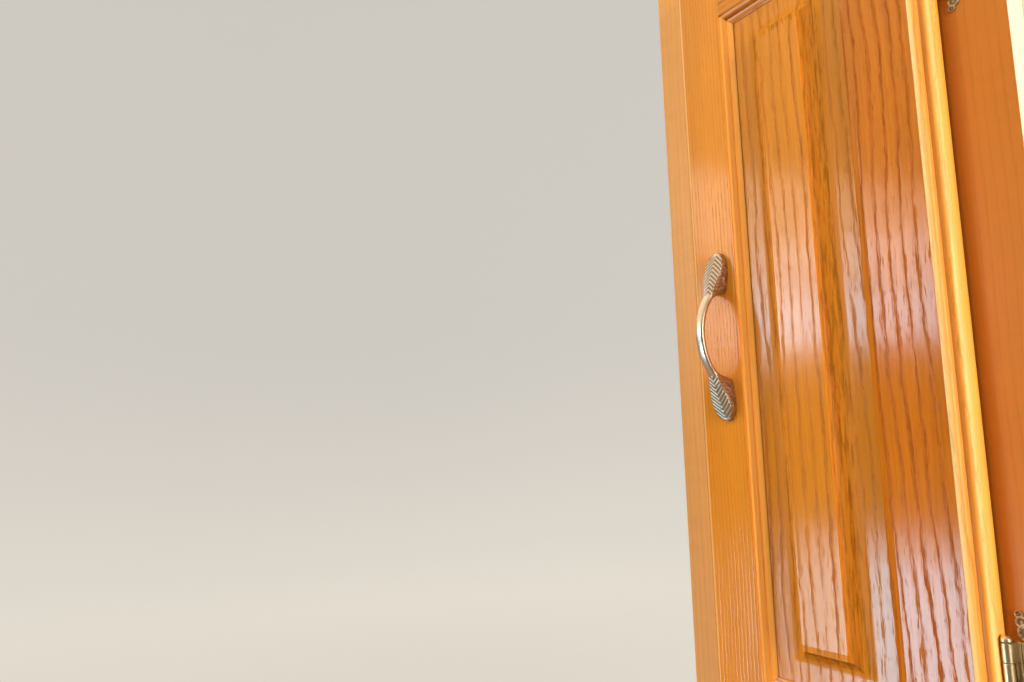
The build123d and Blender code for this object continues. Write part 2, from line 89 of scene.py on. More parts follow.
# ================================================================ node trees
class Look:
    """A material's node tree, with short calls for its nodes."""

    def __init__(self, name):
        self.mat = bpy.data.materials.new(name)
        self.mat.use_nodes = True
        self.tree = self.mat.node_tree
        self.tree.nodes.clear()
        self.out = self.tree.nodes.new("ShaderNodeOutputMaterial")
        self.bsdf = self.tree.nodes.new("ShaderNodeBsdfPrincipled")
        self.tree.links.new(self.bsdf.outputs[0], self.out.inputs[0])
        self._coord = None

    def put(self, socket, value):
        if isinstance(value, Socket):
            self.tree.links.new(value, socket)
        else:
            socket.default_value = value

    def set(self, name, value):
        self.put(self.bsdf.inputs[name], value)

    def coord(self, which="Object"):
        if self._coord is None:
            self._coord = self.tree.nodes.new("ShaderNodeTexCoord")
        return self._coord.outputs[which]

    def split(self, vector):
        n = self.tree.nodes.new("ShaderNodeSeparateXYZ")
        self.put(n.inputs[0], vector)
        return n.outputs

    def join(self, x, y, z):
        n = self.tree.nodes.new("ShaderNodeCombineXYZ")
        for i, v in enumerate((x, y, z)):
            self.put(n.inputs[i], v)
        return n.outputs[0]

    def math(self, op, *args, clamp=False):
        n = self.tree.nodes.new("ShaderNodeMath")
        n.operation, n.use_clamp = op, clamp
        for i, a in enumerate(args):
            self.put(n.inputs[i], a)
        return n.outputs[0]

    def noise(self, vector, scale=1.0, detail=2.0, rough=0.5, distortion=0.0):
        n = self.tree.nodes.new("ShaderNodeTexNoise")
        n.noise_dimensions = "3D"
        self.put(n.inputs["Vector"], vector)
        n.inputs["Scale"].default_value = scale
        n.inputs["Detail"].default_value = detail
        n.inputs["Roughness"].default_value = rough
        n.inputs["Distortion"].default_value = distortion
        return n.outputs[0]

    def white(self, w):
        n = self.tree.nodes.new("ShaderNodeTexWhiteNoise")
        n.noise_dimensions = "1D"
        self.put(n.inputs["W"], w)
        return n.outputs["Value"]

    def voronoi(self, vector, scale, feature="F1", out="Distance", randomness=1.0):
        n = self.tree.nodes.new("ShaderNodeTexVoronoi")
        n.feature = feature
        self.put(n.inputs["Vector"], vector)
        n.inputs["Scale"].default_value = scale
        n.inputs["Randomness"].default_value = randomness
        return n.outputs[out]

    def step(self, value, low, high, to_low=0.0, to_high=1.0):
        """Smooth step of value from low to high."""
        n = self.tree.nodes.new("ShaderNodeMapRange")
        n.interpolation_type, n.clamp = "SMOOTHSTEP", True
        for i, v in enumerate((value, low, high, to_low, to_high)):
            self.put(n.inputs[i], v)
        return n.outputs[0]

    def span(self, value, low, high, to_low=0.0, to_high=1.0):
        """Straight line of value from low to high, held at its ends."""
        n = self.tree.nodes.new("ShaderNodeMapRange")
        n.interpolation_type, n.clamp = "LINEAR", True
        for i, v in enumerate((value, low, high, to_low, to_high)):
            self.put(n.inputs[i], v)
        return n.outputs[0]

    def mix(self, fac, a, b, blend="MIX"):
        n = self.tree.nodes.new("ShaderNodeMix")
        n.data_type, n.blend_type, n.clamp_factor = "RGBA", blend, True
        self.put(n.inputs[0], fac)
        for i, v in ((6, a), (7, b)):
            self.put(n.inputs[i], v if isinstance(v, Socket) else (*v, 1.0))
        return n.outputs[2]

    def ramp(self, fac, stops, way="LINEAR"):
        n = self.tree.nodes.new("ShaderNodeValToRGB")
        n.color_ramp.interpolation = way
        e = n.color_ramp.elements
        e[0].position, e[0].color = stops[0][0], (*stops[0][1], 1.0)
        e[1].position, e[1].color = stops[-1][0], (*stops[-1][1], 1.0)
        for at, colour in stops[1:-1]:
            made = e.new(at)
            made.color = (*colour, 1.0)
        self.put(n.inputs[0], fac)
        return n.outputs[0]

    def scaled(self, colour, by):
        """colour times a number that varies over the surface."""
        n = self.tree.nodes.new("ShaderNodeVectorMath")
        n.operation = "SCALE"
        self.put(n.inputs[0], colour)
        self.put(n.inputs["Scale"], by)
        return n.outputs[0]

    def bump(self, height, distance, strength=1.0, normal=None):
        n = self.tree.nodes.new("ShaderNodeBump")
        n.inputs["Strength"].default_value = strength
        n.inputs["Distance"].default_value = distance
        self.put(n.inputs["Height"], height)
        if normal is not None:
            self.put(n.inputs["Normal"], normal)
        return n.outputs[0]


# ================================================================ wood
# One table row for each kind of wood: colours of the late wood, the early wood and the open pores. The last row is the
# peach wood with painted shade, darker and redder, for the face frame's right stile, which sits in shade beside the
# doors.
TONES = {
    "honey": ((0.690, 0.224, 0.018), (0.560, 0.145, 0.008), (0.330, 0.070, 0.004)),
    "amber": ((0.600, 0.163, 0.010), (0.480, 0.102, 0.005), (0.290, 0.052, 0.003)),
    "peach": ((0.765, 0.318, 0.080), (0.665, 0.235, 0.048), (0.450, 0.130, 0.020)),
    "russet": ((0.600, 0.175, 0.018), (0.520, 0.135, 0.010), (0.330, 0.070, 0.006)),
}


def oak(name, boards, axes="ZXY", tone="honey", ring=0.0080, contrast=1.0, pores=1.0, wander=1.0,
        rough=(0.11, 0.36), relief=1.0, seed=0.0, blotch=1.0, curl=0.0, shine=0.5, edge=None, routed=None,
        stick=None, painted_door_shadow=None):
    """Lacquered open-pored oak, cut from a log whose rings run round a pith beside each board.
    axes: along the grain, across the face, into the board. boards: for each board, the coordinate across
    the face where it ends, the pith's place across and in depth (m), and its shade.
    edge: (colour, or colours by depth; amount; middle; distance from it) of outer faces that take less stain; the
    colours by depth also hold painted highlights and painted shade.
    routed: (half width, half height, middle height, width) of a slope round a raised field.
    stick: (distance from the middle, painted light on its flats, painted shade on its rounds) of the moulding inside a
    stile.
    the last argument: (from, to, amount, low end, high end) of a shadow of a door's edge painted on the face frame
    beside it."""
    k = Look(name)
    xyz = dict(zip("XYZ", k.split(k.coord())))
    w, u, v = (xyz[a] for a in axes)
    if len(boards) == 1:
        _, u0, v0, shade = boards[0]
        lot = seed
    else:
        low, high = boards[0][0] - 0.2, boards[-1][0] + 0.001
        place = k.span(u, low, high)
        stops = [(0.0, 0)] + [((b[0] - low) / (high - low), i + 1) for i, b in enumerate(boards[:-1])]
        pith = k.split(k.ramp(place, [(at, ((boards[i][1] + 0.5), -boards[i][2], boards[i][3] * 0.5)) for at, i in stops],
                              "CONSTANT"))
        u0 = k.math("SUBTRACT", pith[0], 0.5)
        v0 = k.math("MULTIPLY", pith[1], -1.0)
        shade = k.math("MULTIPLY", pith[2], 2.0)
        lot = k.math("ADD", k.math("MULTIPLY", pith[0], 37.0), seed)
    # the log's rings: slow wander along the trunk, then smaller waves and a ragged edge
    slow = k.noise(k.join(lot, 0.0, k.math("MULTIPLY", w, 2.3)), 1.0, 1.0)
    slow = k.math("MULTIPLY", k.math("SUBTRACT", slow, 0.5), 0.024 * wander)
    du = k.math("ADD", k.math("SUBTRACT", u, u0), slow)
    dv = k.math("SUBTRACT", v, v0)
    r = k.math("SQRT", k.math("ADD", k.math("MULTIPLY", du, du), k.math("MULTIPLY", dv, dv)))
    wave = k.noise(k.join(k.math("ADD", k.math("MULTIPLY", u, 24.0), lot), k.math("MULTIPLY", v, 24.0),
                          k.math("MULTIPLY", w, 9.0)), 1.0, 2.0, 0.5)
    small = k.noise(k.join(k.math("ADD", k.math("MULTIPLY", u, 130.0), lot), k.math("MULTIPLY", v, 130.0),
                           k.math("MULTIPLY", w, 52.0)), 1.0, 2.0, 0.6)
    r = k.math("MULTIPLY_ADD", k.math("SUBTRACT", wave, 0.5), 1.15 * ring * wander, r)
    r = k.math("MULTIPLY_ADD", k.math("SUBTRACT", small, 0.5), 0.42 * ring * wander, r)
    ragged = k.noise(k.join(k.math("ADD", k.math("MULTIPLY", u, 330.0), lot), k.math("MULTIPLY", v, 330.0),
                            k.math("MULTIPLY", w, 118.0)), 1.0, 1.0)
    r = k.math("MULTIPLY_ADD", k.math("SUBTRACT", ragged, 0.5), 0.0013 * min(1.0, ring / 0.008), r)
    p = k.math("DIVIDE", r, ring)
    number = k.math("FLOOR", p)
    part = k.math("SUBTRACT", p, number)
    chance = k.white(k.math("ADD", number, lot))
    chance2 = k.white(k.math("ADD", k.math("MULTIPLY", number, 3.7), lot))
    # early wood: a soft band in each ring, of uneven width and depth
    wide = k.math("MULTIPLY_ADD", chance, 0.12, 0.10)
    early = k.math("SUBTRACT", 1.0, k.step(part, 0.10, k.math("ADD", wide, 0.30)))
    early = k.math("MAXIMUM", early, k.step(part, 0.86, 1.0))
    first = k.math("MULTIPLY", k.step(part, 0.0, 0.03), k.math("SUBTRACT", 1.0, k.step(part, wide, k.math("ADD", wide, 0.06))))
    patchy = k.noise(k.join(k.math("ADD", k.math("MULTIPLY", u, 60.0), lot), k.math("MULTIPLY", v, 60.0),
                            k.math("MULTIPLY", w, 11.0)), 1.0, 2.0, 0.5)
    patchy = k.step(patchy, 0.30, 0.62, 0.45, 1.0)
    early = k.math("MULTIPLY", k.math("MULTIPLY", early, patchy), k.math("MULTIPLY_ADD", chance2, 0.55, 0.45))
    # fibres, pores and flecks, all drawn out along the grain
    drawn = k.join(k.math("ADD", k.math("MULTIPLY", u, 520.0), lot), k.math("MULTIPLY", v, 520.0),
                   k.math("MULTIPLY", w, 18.0))
    fibre = k.noise(drawn, 1.0, 3.0, 0.62)
    thin = k.join(k.math("ADD", k.math("MULTIPLY", u, 2700.0), lot), k.math("MULTIPLY", v, 2700.0),
                  k.math("MULTIPLY", w, 150.0))
    fine = k.noise(thin, 1.0, 1.0, 0.5)
    long_ = k.join(k.math("ADD", k.math("MULTIPLY", u, 1050.0), lot), k.math("MULTIPLY", v, 1050.0),
                   k.math("MULTIPLY", w, 84.0))
    coarse = k.noise(long_, 1.0, 2.0, 0.55)
    open_fine = k.step(k.math("SUBTRACT", fine, k.math("MULTIPLY_ADD", early, -0.20, 0.745)), -0.04, 0.06)
    open_coarse = k.step(k.math("SUBTRACT", coarse, k.math("MULTIPLY_ADD", early, -0.20, 0.720)), -0.04, 0.07)
    pore = k.math("MAXIMUM", open_fine, open_coarse)
    pore = k.math("MULTIPLY", pore, pores, clamp=True)
    # chains of pores that run together into dark streaks, mostly at the start of a ring
    chain = k.noise(k.join(k.math("ADD", k.math("MULTIPLY", u, 640.0), lot), k.math("MULTIPLY", v, 640.0),
                           k.math("MULTIPLY", w, 52.0)), 1.0, 3.0, 0.60)
    streak = k.step(k.math("MULTIPLY_ADD", first, 0.19, chain), 0.600, 0.670)
    streak = k.math("MULTIPLY", streak, pores, clamp=True)
    # colour
    late_c, early_c, pore_c = TONES[tone]
    colour = k.mix(k.math("MULTIPLY", early, 0.78 * contrast, clamp=True), late_c, early_c)
    cloud = k.noise(k.join(k.math("ADD", k.math("MULTIPLY", u, 30.0), lot), k.math("MULTIPLY", v, 30.0),
                           k.math("MULTIPLY", w, 2.6)), 1.0, 2.0, 0.55)
    level = k.math("MULTIPLY_ADD", k.math("SUBTRACT", cloud, 0.5), 0.36 * blotch, 1.0)
    level = k.math("MULTIPLY", level, k.math("MULTIPLY_ADD", k.math("SUBTRACT", fibre, 0.5), 0.50 * contrast, 1.0))
    if curl:
        ripple = k.noise(k.join(k.math("MULTIPLY", u, 26.0), k.math("MULTIPLY", v, 26.0), k.math("MULTIPLY", w, 95.0)),
                         1.0, 1.0)
        level = k.math("MULTIPLY", level, k.math("MULTIPLY_ADD", k.math("SUBTRACT", ripple, 0.5), curl, 1.0))
    level = k.math("MULTIPLY", level, k.math("MULTIPLY_ADD", streak, -0.17, 1.02))
    level = k.math("MULTIPLY", level, shade)
    colour = k.mix(k.math("MULTIPLY", pore, 0.52), colour, pore_c)
    # end grain soaks up more of the stain
    face = dict(zip("XYZ", k.split(k.coord("Normal"))))[axes[0]]
    end = k.step(k.math("ABSOLUTE", face), 0.6, 0.95)
    level = k.math("MULTIPLY", level, k.math("MULTIPLY_ADD", end, -0.42, 1.0))
    # outer side edges take less stain and also carry painted highlights and painted shade; routed hollows inside take
    # more
    turned_away = k.math("ABSOLUTE", dict(zip("XYZ", k.split(k.coord("Normal"))))[axes[1]])
    if edge is not None:
        outer = k.step(k.math("ABSOLUTE", k.math("SUBTRACT", u, edge[2])), edge[3], edge[3] + 0.0006, 0.0, edge[1])
        to_back = k.step(k.split(k.coord("Normal"))[1], 0.5, 0.9, 1.0, 0.0)
        side = k.math("MULTIPLY", outer, to_back)
        edge_stain_and_light = edge[0]
        # colours by depth: paler stain with painted highlights and painted shade across the edge's profile
        if isinstance(edge_stain_and_light, list):
            edge_stain_and_light = k.ramp(k.span(v, Y_DOOR, Y_DOOR_BACK), edge_stain_and_light)
        colour = k.mix(side, colour, edge_stain_and_light)
    if routed is not None:
        half_w, half_h, middle, wide = routed
        x_, y_, z_ = k.split(k.coord())
        away = k.math("MAXIMUM", k.math("SUBTRACT", k.math("ABSOLUTE", x_), half_w),
                      k.math("SUBTRACT", k.math("ABSOLUTE", k.math("SUBTRACT", z_, middle)), half_h))
        before = k.step(y_, Y_DOOR + 0.0085, Y_DOOR + 0.0095, 1.0, 0.0)
        away = k.math("MULTIPLY_ADD", k.math("SUBTRACT", before, 1.0), 1.0, away)
        cut = k.math("MULTIPLY", k.step(away, -0.0003, 0.0003), k.step(away, wide - 0.0010, wide, 1.0, 0.0))
        steep = k.step(turned_away, 0.40, 0.93, 1.0, 0.70)
        lines = k.step(chain, 0.44, 0.62, 1.06, 0.76)
        level = k.math("MULTIPLY", level, k.math("MULTIPLY_ADD", cut, k.math("SUBTRACT", lines, 1.0), 1.0))
        level = k.math("MULTIPLY", level, k.math("MULTIPLY_ADD", cut, k.math("SUBTRACT", steep, 1.0), 1.0))
    # moulding inside a stile: its own golden tone, with painted light on its front-facing flats and painted shade on
    # its sideways rounds
    if stick is not None:
        cut = k.math("MULTIPLY", k.step(k.math("ABSOLUTE", u), stick[0] - 0.0004, stick[0] + 0.0002, 1.0, 0.0),
                     k.step(v, Y_DOOR + 0.0070, Y_DOOR + 0.0078, 1.0, 0.0))
        turned = k.step(turned_away, 0.25, 0.60, stick[1], stick[2])
        level = k.math("MULTIPLY", level, k.math("MULTIPLY_ADD", cut, k.math("SUBTRACT", turned, 1.0), 1.0))
        colour = k.mix(k.math("MULTIPLY", cut, 0.70), colour, (0.600, 0.250, 0.055))
    # painted shadow of the door's edge on the face frame stile: darkest next to the door, only along the door's height
    if painted_door_shadow is not None:
        beside = k.math("MULTIPLY", k.step(w, painted_door_shadow[3] - 0.010, painted_door_shadow[3] + 0.004), k.step(w, painted_door_shadow[4] - 0.004, painted_door_shadow[4] + 0.010, 1.0, 0.0))
        shaded = k.math("MULTIPLY", beside, k.step(u, painted_door_shadow[0], painted_door_shadow[1], painted_door_shadow[2], 0.0))
        level = k.math("MULTIPLY", level, k.math("SUBTRACT", 1.0, shaded))
    k.set("Base Color", k.scaled(colour, level))
    worn = k.math("MAXIMUM", k.math("MULTIPLY", pore, 0.9), k.math("MULTIPLY", early, 0.34 * contrast, clamp=True))
    worn = k.math("MAXIMUM", worn, k.math("MULTIPLY", streak, 0.96))
    roughness = k.span(worn, 0.0, 1.0, rough[0], rough[1])
    gloss = k.span(worn, 0.0, 1.0, shine, shine * 0.16)
    if routed is not None:
        dull = k.math("MULTIPLY", k.step(away, -0.0003, 0.0003), k.step(away, wide + 0.0020, wide + 0.0045, 1.0, 0.0))
        roughness = k.math("MULTIPLY_ADD", dull, 0.22, roughness)
        gloss = k.math("MULTIPLY", gloss, k.math("MULTIPLY_ADD", dull, -0.80, 1.0))
    if stick is not None:
        roughness = k.math("MULTIPLY_ADD", cut, 0.14, roughness)
        gloss = k.math("MULTIPLY", gloss, k.math("MULTIPLY_ADD", cut, -0.66, 1.0))
    if edge is not None:
        roughness = k.math("MULTIPLY_ADD", outer, 0.16, roughness)
        gloss = k.math("MULTIPLY", gloss, k.math("MULTIPLY_ADD", outer, -0.55, 1.0))
    k.set("Roughness", roughness)
    k.set("Specular IOR Level", gloss)
    k.bsdf.inputs["IOR"].default_value = 1.5
    height = k.math("MULTIPLY_ADD", pore, -1.0, k.math("MULTIPLY", fibre, 0.25))
    height = k.math("MULTIPLY_ADD", early, -0.45, height)
    k.set("Normal", k.bump(height, 0.00010 * relief, 0.9))
    return k.mat


def dress(node, material):
    """Puts a material on a CAD node."""
    o = nodes[node]
    o.data.materials.clear()
    o.data.materials.append(material)


# ---------------------------------------------------------------- boards of the doors
# columns: node, grain direction axes, boards, tone, ring spacing, contrast, pores, wander, seed
SINGLE = 9.0
# the outer edge of a door by depth, from its front to its back: rounded part, small flat, second round, side. Paler
# stain, with painted highlights near the front of the first round and across the second round, painted shade in the
# small flat and painted shade towards the back, where the face frame shades the side.
EDGE_STAIN_AND_PAINTED_LIGHT = [(0.0, (0.940, 0.660, 0.320)), (0.028, (0.920, 0.520, 0.185)), (0.075, (0.745, 0.310, 0.067)), (0.245, (0.690, 0.248, 0.040)),
          (0.270, (0.640, 0.225, 0.030)), (0.310, (0.820, 0.360, 0.075)), (0.370, (0.910, 0.520, 0.200)), (0.470, (0.910, 0.490, 0.165)),
          (0.620, (0.890, 0.420, 0.100)), (0.860, (0.830, 0.365, 0.070)), (1.0, (0.690, 0.260, 0.038))]
CREAM = ((0.860, 0.735, 0.595), 1.0, 0.0, 0.1520)
EDGE_FROM = 0.0103                     # width of the moulded edge round a door
STICK_FROM = 0.0588                    # outer line of the moulding round a panel
FIELD_HALF = 0.0186                    # half width of every raised field
SLOPE_OUT = 0.0118                     # its slope and step, outwards
DOOR_BOARDS = [
    ("upper_door_left_stile", "ZXY", [(SINGLE, -0.430, -0.110, 1.10)], "honey", 0.0034, 0.40, 0.50, 0.45, 3.1),
    ("upper_door_right_stile", "ZXY", [(SINGLE, 0.430, -0.130, 1.00)], "amber", 0.0086, 1.10, 1.0, 1.0, 11.7),
    ("upper_door_bottom_rail", "XZY", [(SINGLE, 1.500, -0.200, 0.98)], "honey", 0.0052, 0.8, 0.9, 0.7, 23.4),
    ("upper_door_top_rail", "XZY", [(SINGLE, 1.550, -0.180, 1.0)], "honey", 0.0052, 0.7, 0.9, 0.7, 31.9),
    ("upper_door_panel", "ZXY", [(-0.0285, -0.360, -0.150, 0.98), (0.0195, -0.400, -0.120, 1.03),
                                 (0.10, 0.420, -0.170, 0.97)], "honey", 0.0092, 0.85, 0.85, 0.9, 47.3),
    ("lower_door_left_stile", "ZXY", [(SINGLE, -0.430, -0.170, 1.06)], "honey", 0.0040, 0.5, 0.6, 0.6, 53.8),
    ("lower_door_right_stile", "ZXY", [(SINGLE, 0.460, -0.150, 0.98)], "amber", 0.0074, 0.95, 0.95, 0.9, 61.2),
    ("lower_door_bottom_rail", "XZY", [(SINGLE, 0.430, -0.200, 0.97)], "honey", 0.0052, 0.8, 0.9, 0.7, 67.5),
    ("lower_door_middle_rail", "XZY", [(SINGLE, 0.360, -0.150, 1.02)], "honey", 0.0060, 0.8, 0.9, 0.8, 73.1),
    ("lower_door_top_rail", "XZY", [(SINGLE, 0.860, -0.230, 0.98)], "honey", 0.0052, 0.7, 0.9, 0.7, 79.6),
    ("lower_door_bottom_panel", "ZXY", [(-0.012, -0.060, -0.170, 1.02), (0.10, 0.025, -0.090, 0.96)],
     "honey", 0.0070, 0.85, 0.85, 1.0, 83.9),
    ("lower_door_top_panel", "ZXY", [(-0.030, -0.340, -0.200, 0.97), (0.10, 0.010, -0.110, 1.0)],
     "honey", 0.0070, 0.85, 0.85, 1.0, 97.3),
]
for node, axes, boards, tone, ring, contrast, pores, wander, seed in DOOR_BOARDS:
    low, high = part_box(node)
    routed = None
    if "panel" in node:
        inset = (high.x - low.x) / 2 - FIELD_HALF
        routed = (FIELD_HALF, (high.z - low.z) / 2 - inset, (high.z + low.z) / 2, SLOPE_OUT)
    edge = None
    # the edge colours hold painted highlights and shade: most on the right stiles, whose edges face the light from the
    # right, least on the rails
    if "stile" in node:
        edge = (EDGE_STAIN_AND_PAINTED_LIGHT, 0.92 if "right" in node else 0.55, 0.0, DOOR_X - EDGE_FROM)
    elif "rail" in node and "middle" not in node:
        door_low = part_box(node[:10] + "_left_stile")[0].z
        door_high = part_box(node[:10] + "_left_stile")[1].z
        edge = (EDGE_STAIN_AND_PAINTED_LIGHT, 0.30, (door_low + door_high) / 2, (door_high - door_low) / 2 - EDGE_FROM)
    # the moulding: painted light on its flats (x1.46), painted shade on its rounds (x0.94)
    stick = (STICK_FROM, 1.46, 0.94) if "left_stile" in node else None
    dress(node, oak("oak_" + node, boards, axes, tone, ring, contrast, pores, wander, seed=seed, edge=edge, routed=routed,
                    stick=stick))

# columns: node, grain direction axes, boards, tone, seed
FRAME_BOARDS = [
    ("face_frame_left_stile", "ZXY", [(SINGLE, -0.52, -0.20, 1.06)], "peach", 5.2),
    # the right stile takes the peach wood with painted shade
    ("face_frame_right_stile", "ZXY", [(SINGLE, 0.50, -0.22, 1.0)], "russet", 17.6),
    ("face_frame_top_rail", "XZY", [(SINGLE, 2.40, -0.20, 1.0)], "peach", 29.3),
    ("face_frame_middle_rail", "XZY", [(SINGLE, 1.50, -0.20, 0.98)], "peach", 37.7),
    ("face_frame_bottom_rail", "XZY", [(SINGLE, -0.50, -0.20, 0.97)], "peach", 43.1),
]
for node, axes, boards, tone, seed in FRAME_BOARDS:
    dress(node, oak("oak_" + node, boards, axes, tone, 0.0060, 0.30, 0.16, 0.5, (0.32, 0.44), 0.4, seed,
                    blotch=0.6, curl=0.10, shine=0.18 if node == "face_frame_right_stile" else 0.30,
                    edge=CREAM if "stile" in node else None,
                    # painted shadow of the door's edge along this stile
                    painted_door_shadow=(0.1125, 0.1250, 0.36, 0.115, 1.843) if node == "face_frame_right_stile" else None))


# ---------------------------------------------------------------- softened arrises on the boards
def soften(node, width, segments=2):
    o = nodes[node]
    g = bpy.data.node_groups.get("clean_mesh")
    if g is None:
        g = bpy.data.node_groups.new("clean_mesh", "GeometryNodeTree")
        g.interface.new_socket("Geometry", in_out="INPUT", socket_type="NodeSocketGeometry")
        g.interface.new_socket("Geometry", in_out="OUTPUT", socket_type="NodeSocketGeometry")
        a, z = g.nodes.new("NodeGroupInput"), g.nodes.new("NodeGroupOutput")
        drop = g.nodes.new("GeometryNodeRemoveAttribute")
        drop.inputs["Name"].default_value = "custom_normal"
        weld = g.nodes.new("GeometryNodeMergeByDistance")
        weld.inputs["Distance"].default_value = 0.00001
        g.links.new(a.outputs[0], drop.inputs[0])
        g.links.new(drop.outputs[0], weld.inputs[0])
        g.links.new(weld.outputs[0], z.inputs[0])
    m = o.modifiers.new("clean", "NODES")
    m.node_group = g
    m = o.modifiers.new("flats", "DECIMATE")
    m.decimate_type, m.angle_limit = "DISSOLVE", math.radians(0.6)
    m = o.modifiers.new("arris", "BEVEL")
    m.width, m.segments, m.limit_method, m.angle_limit = width, segments, "ANGLE", math.radians(28)
    m.use_clamp_overlap = True
    h = bpy.data.node_groups.get("smooth_faces")
    if h is None:
        h = bpy.data.node_groups.new("smooth_faces", "GeometryNodeTree")
        h.interface.new_socket("Geometry", in_out="INPUT", socket_type="NodeSocketGeometry")
        h.interface.new_socket("Geometry", in_out="OUTPUT", socket_type="NodeSocketGeometry")
        a, z = h.nodes.new("NodeGroupInput"), h.nodes.new("NodeGroupOutput")
        all_faces = h.nodes.new("GeometryNodeSetShadeSmooth")
        all_faces.domain = "FACE"
        edges = h.nodes.new("GeometryNodeSetShadeSmooth")
        edges.domain = "EDGE"
        h.links.new(a.outputs[0], all_faces.inputs[0])
        h.links.new(all_faces.outputs[0], edges.inputs[0])
        h.links.new(edges.outputs[0], z.inputs[0])
    m = o.modifiers.new("smooth", "NODES")
    m.node_group = h
    m = o.modifiers.new("normals", "WEIGHTED_NORMAL")
    m.mode, m.weight, m.keep_sharp = "FACE_AREA", 100, False


for node, *_ in DOOR_BOARDS:
    soften(node, 0.00020 if "panel" in node else 0.00035)
for node, *_ in FRAME_BOARDS:
    soften(node, 0.0005)


# ================================================================ metalwork
MM = 0.001


def smooth(t):
    t = min(1.0, max(0.0, t))
    return t * t * (3 - 2 * t)


def hashed(x, y, z):
    """A fixed value from 0 to 1 for three whole numbers."""
    n = (x * 374761393 + y * 668265263 + z * 2147483647) & 0xFFFFFFFF
    n = ((n ^ (n >> 13)) * 1274126177) & 0xFFFFFFFF
    return ((n ^ (n >> 16)) & 0xFFFF) / 65535.0


def lumps(x, y, z):
    """Smooth lumpy noise from -1 to 1, about one lump a unit."""
    xi, yi, zi = math.floor(x), math.floor(y), math.floor(z)
    fx, fy, fz = smooth(x - xi), smooth(y - yi), smooth(z - zi)
    total = 0.0
    for i in (0, 1):
        for j in (0, 1):
            for m in (0, 1):
                w = (fx if i else 1 - fx) * (fy if j else 1 - fy) * (fz if m else 1 - fz)
                total += w * hashed(xi + i, yi + j, zi + m)
    return 2 * total - 1


class Piece:
    """Closed shells gathered into one mesh. patina is 0 on worn bright metal and 1 in the recesses."""

    def __init__(self):
        self.bm = bmesh.new()
        self.layer = self.bm.verts.layers.float.new("patina")

    def vert(self, at, patina=0.0):
        v = self.bm.verts.new(at)
        v[self.layer] = patina
        return v

    def loft(self, rings, caps=True):
        """rings: lists of (place, patina), all of one length, each closed on itself."""
        made = [[self.vert(*p) for p in ring] for ring in rings]
        n = len(made[0])
        for a, b in zip(made, made[1:]):
            for i in range(n):
                self.bm.faces.new((a[i], a[(i + 1) % n], b[(i + 1) % n], b[i]))
        if caps:
            for ring in (made[0], made[-1]):
                mid = Vector((0, 0, 0))
                for v in ring:
                    mid += v.co
                c = self.vert(mid / n, ring[0][self.layer])
                for i in range(n):
                    self.bm.faces.new((c, ring[i], ring[(i + 1) % n]))
        return made

    def turned(self, profile, centre, axis="Z", steps=40, wobble=0.0, way=1.0, flutes=0):
        """A turned shape: profile rows are (radius, height, patina) from one end to the other."""
        rings = []
        cx, cy, cz = centre
        tall = max(row[1] for row in profile)
        for radius, height, patina in profile:
            ring = []
            for i in range(steps):
                a = 2 * math.pi * i / steps
                p, q = radius * math.cos(a), radius * math.sin(a)
                h = height
                if height > 0.2 * tall:
                    if wobble:
                        h += wobble * (lumps((cx + p) / (1.0 * MM), (cz + q) / (1.0 * MM), 3.0 + cz * 50) - 0.5)
                    if flutes:
                        h -= 0.20 * tall * max(0.0, math.sin(flutes * a + 700 * radius)) * min(1.0, 2 * radius / profile[-1][0])
                if axis == "Z":
                    at = (cx + p, cy + q, cz + way * h)
                else:
                    at = (cx + p, cy + way * h, cz + q)
                ring.append((Vector(at), patina))
            rings.append(ring)
        return self.loft(rings)

    def collar(self, section, centre, bore, low, high, chamfer, patina=0.0):
        """A section run upwards with a round bore through it, for a section that can be seen whole from the bore's centre."""
        cx, cy = centre

        def bored(z):
            ring = []
            for a, b in section(0.0):
                far = math.hypot(a - cx, b - cy)
                ring.append(self.vert(Vector((cx + (a - cx) * bore / far, cy + (b - cy) * bore / far, z)), 0.9))
            return ring

        def outer(z, cut):
            return [self.vert(Vector((a, b, z)), patina) for a, b in section(cut)]

        rings = [bored(low), outer(low, chamfer), outer(low + chamfer, 0.0), outer(high - chamfer, 0.0), outer(high, chamfer),
                 bored(high)]
        n = len(rings[0])
        for a, b in zip(rings, rings[1:] + rings[:1]):
            for i in range(n):
                self.bm.faces.new((a[i], a[(i + 1) % n], b[(i + 1) % n], b[i]))

    def finish(self, name, body, slot, material, *replaced, angle=32):
        bmesh.ops.recalc_face_normals(self.bm, faces=self.bm.faces[:])
        me = bpy.data.meshes.new(name)
        self.bm.to_mesh(me)
        self.bm.free()
        for p in me.polygons:
            p.use_smooth = True
        me.set_sharp_from_angle(angle=math.radians(angle))
        o = bpy.data.objects.new(name, me)
        scene.collection.objects.link(o)
        me.materials.append(material)
        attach(o, body)
        if replaced:
            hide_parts(*replaced)
        return o


def rounded(x0, x1, z0, z1, radius, steps=5):
    """Outline of a rectangle with round corners, as a function of an inset."""
    def outline(cut=0.0):
        a, b, c, d = x0 + cut, x1 - cut, z0 + cut, z1 - cut
        r = max(radius - cut, 0.05 * MM)
        pts = []
        for cx, cz, start in ((b - r, d - r, 0), (a + r, d - r, 90), (a + r, c + r, 180), (b - r, c + r, 270)):
            for i in range(steps + 1):
                t = math.radians(start + 90 * i / steps)
                pts.append((cx + r * math.cos(t), cz + r * math.sin(t)))
        return pts
    return outline


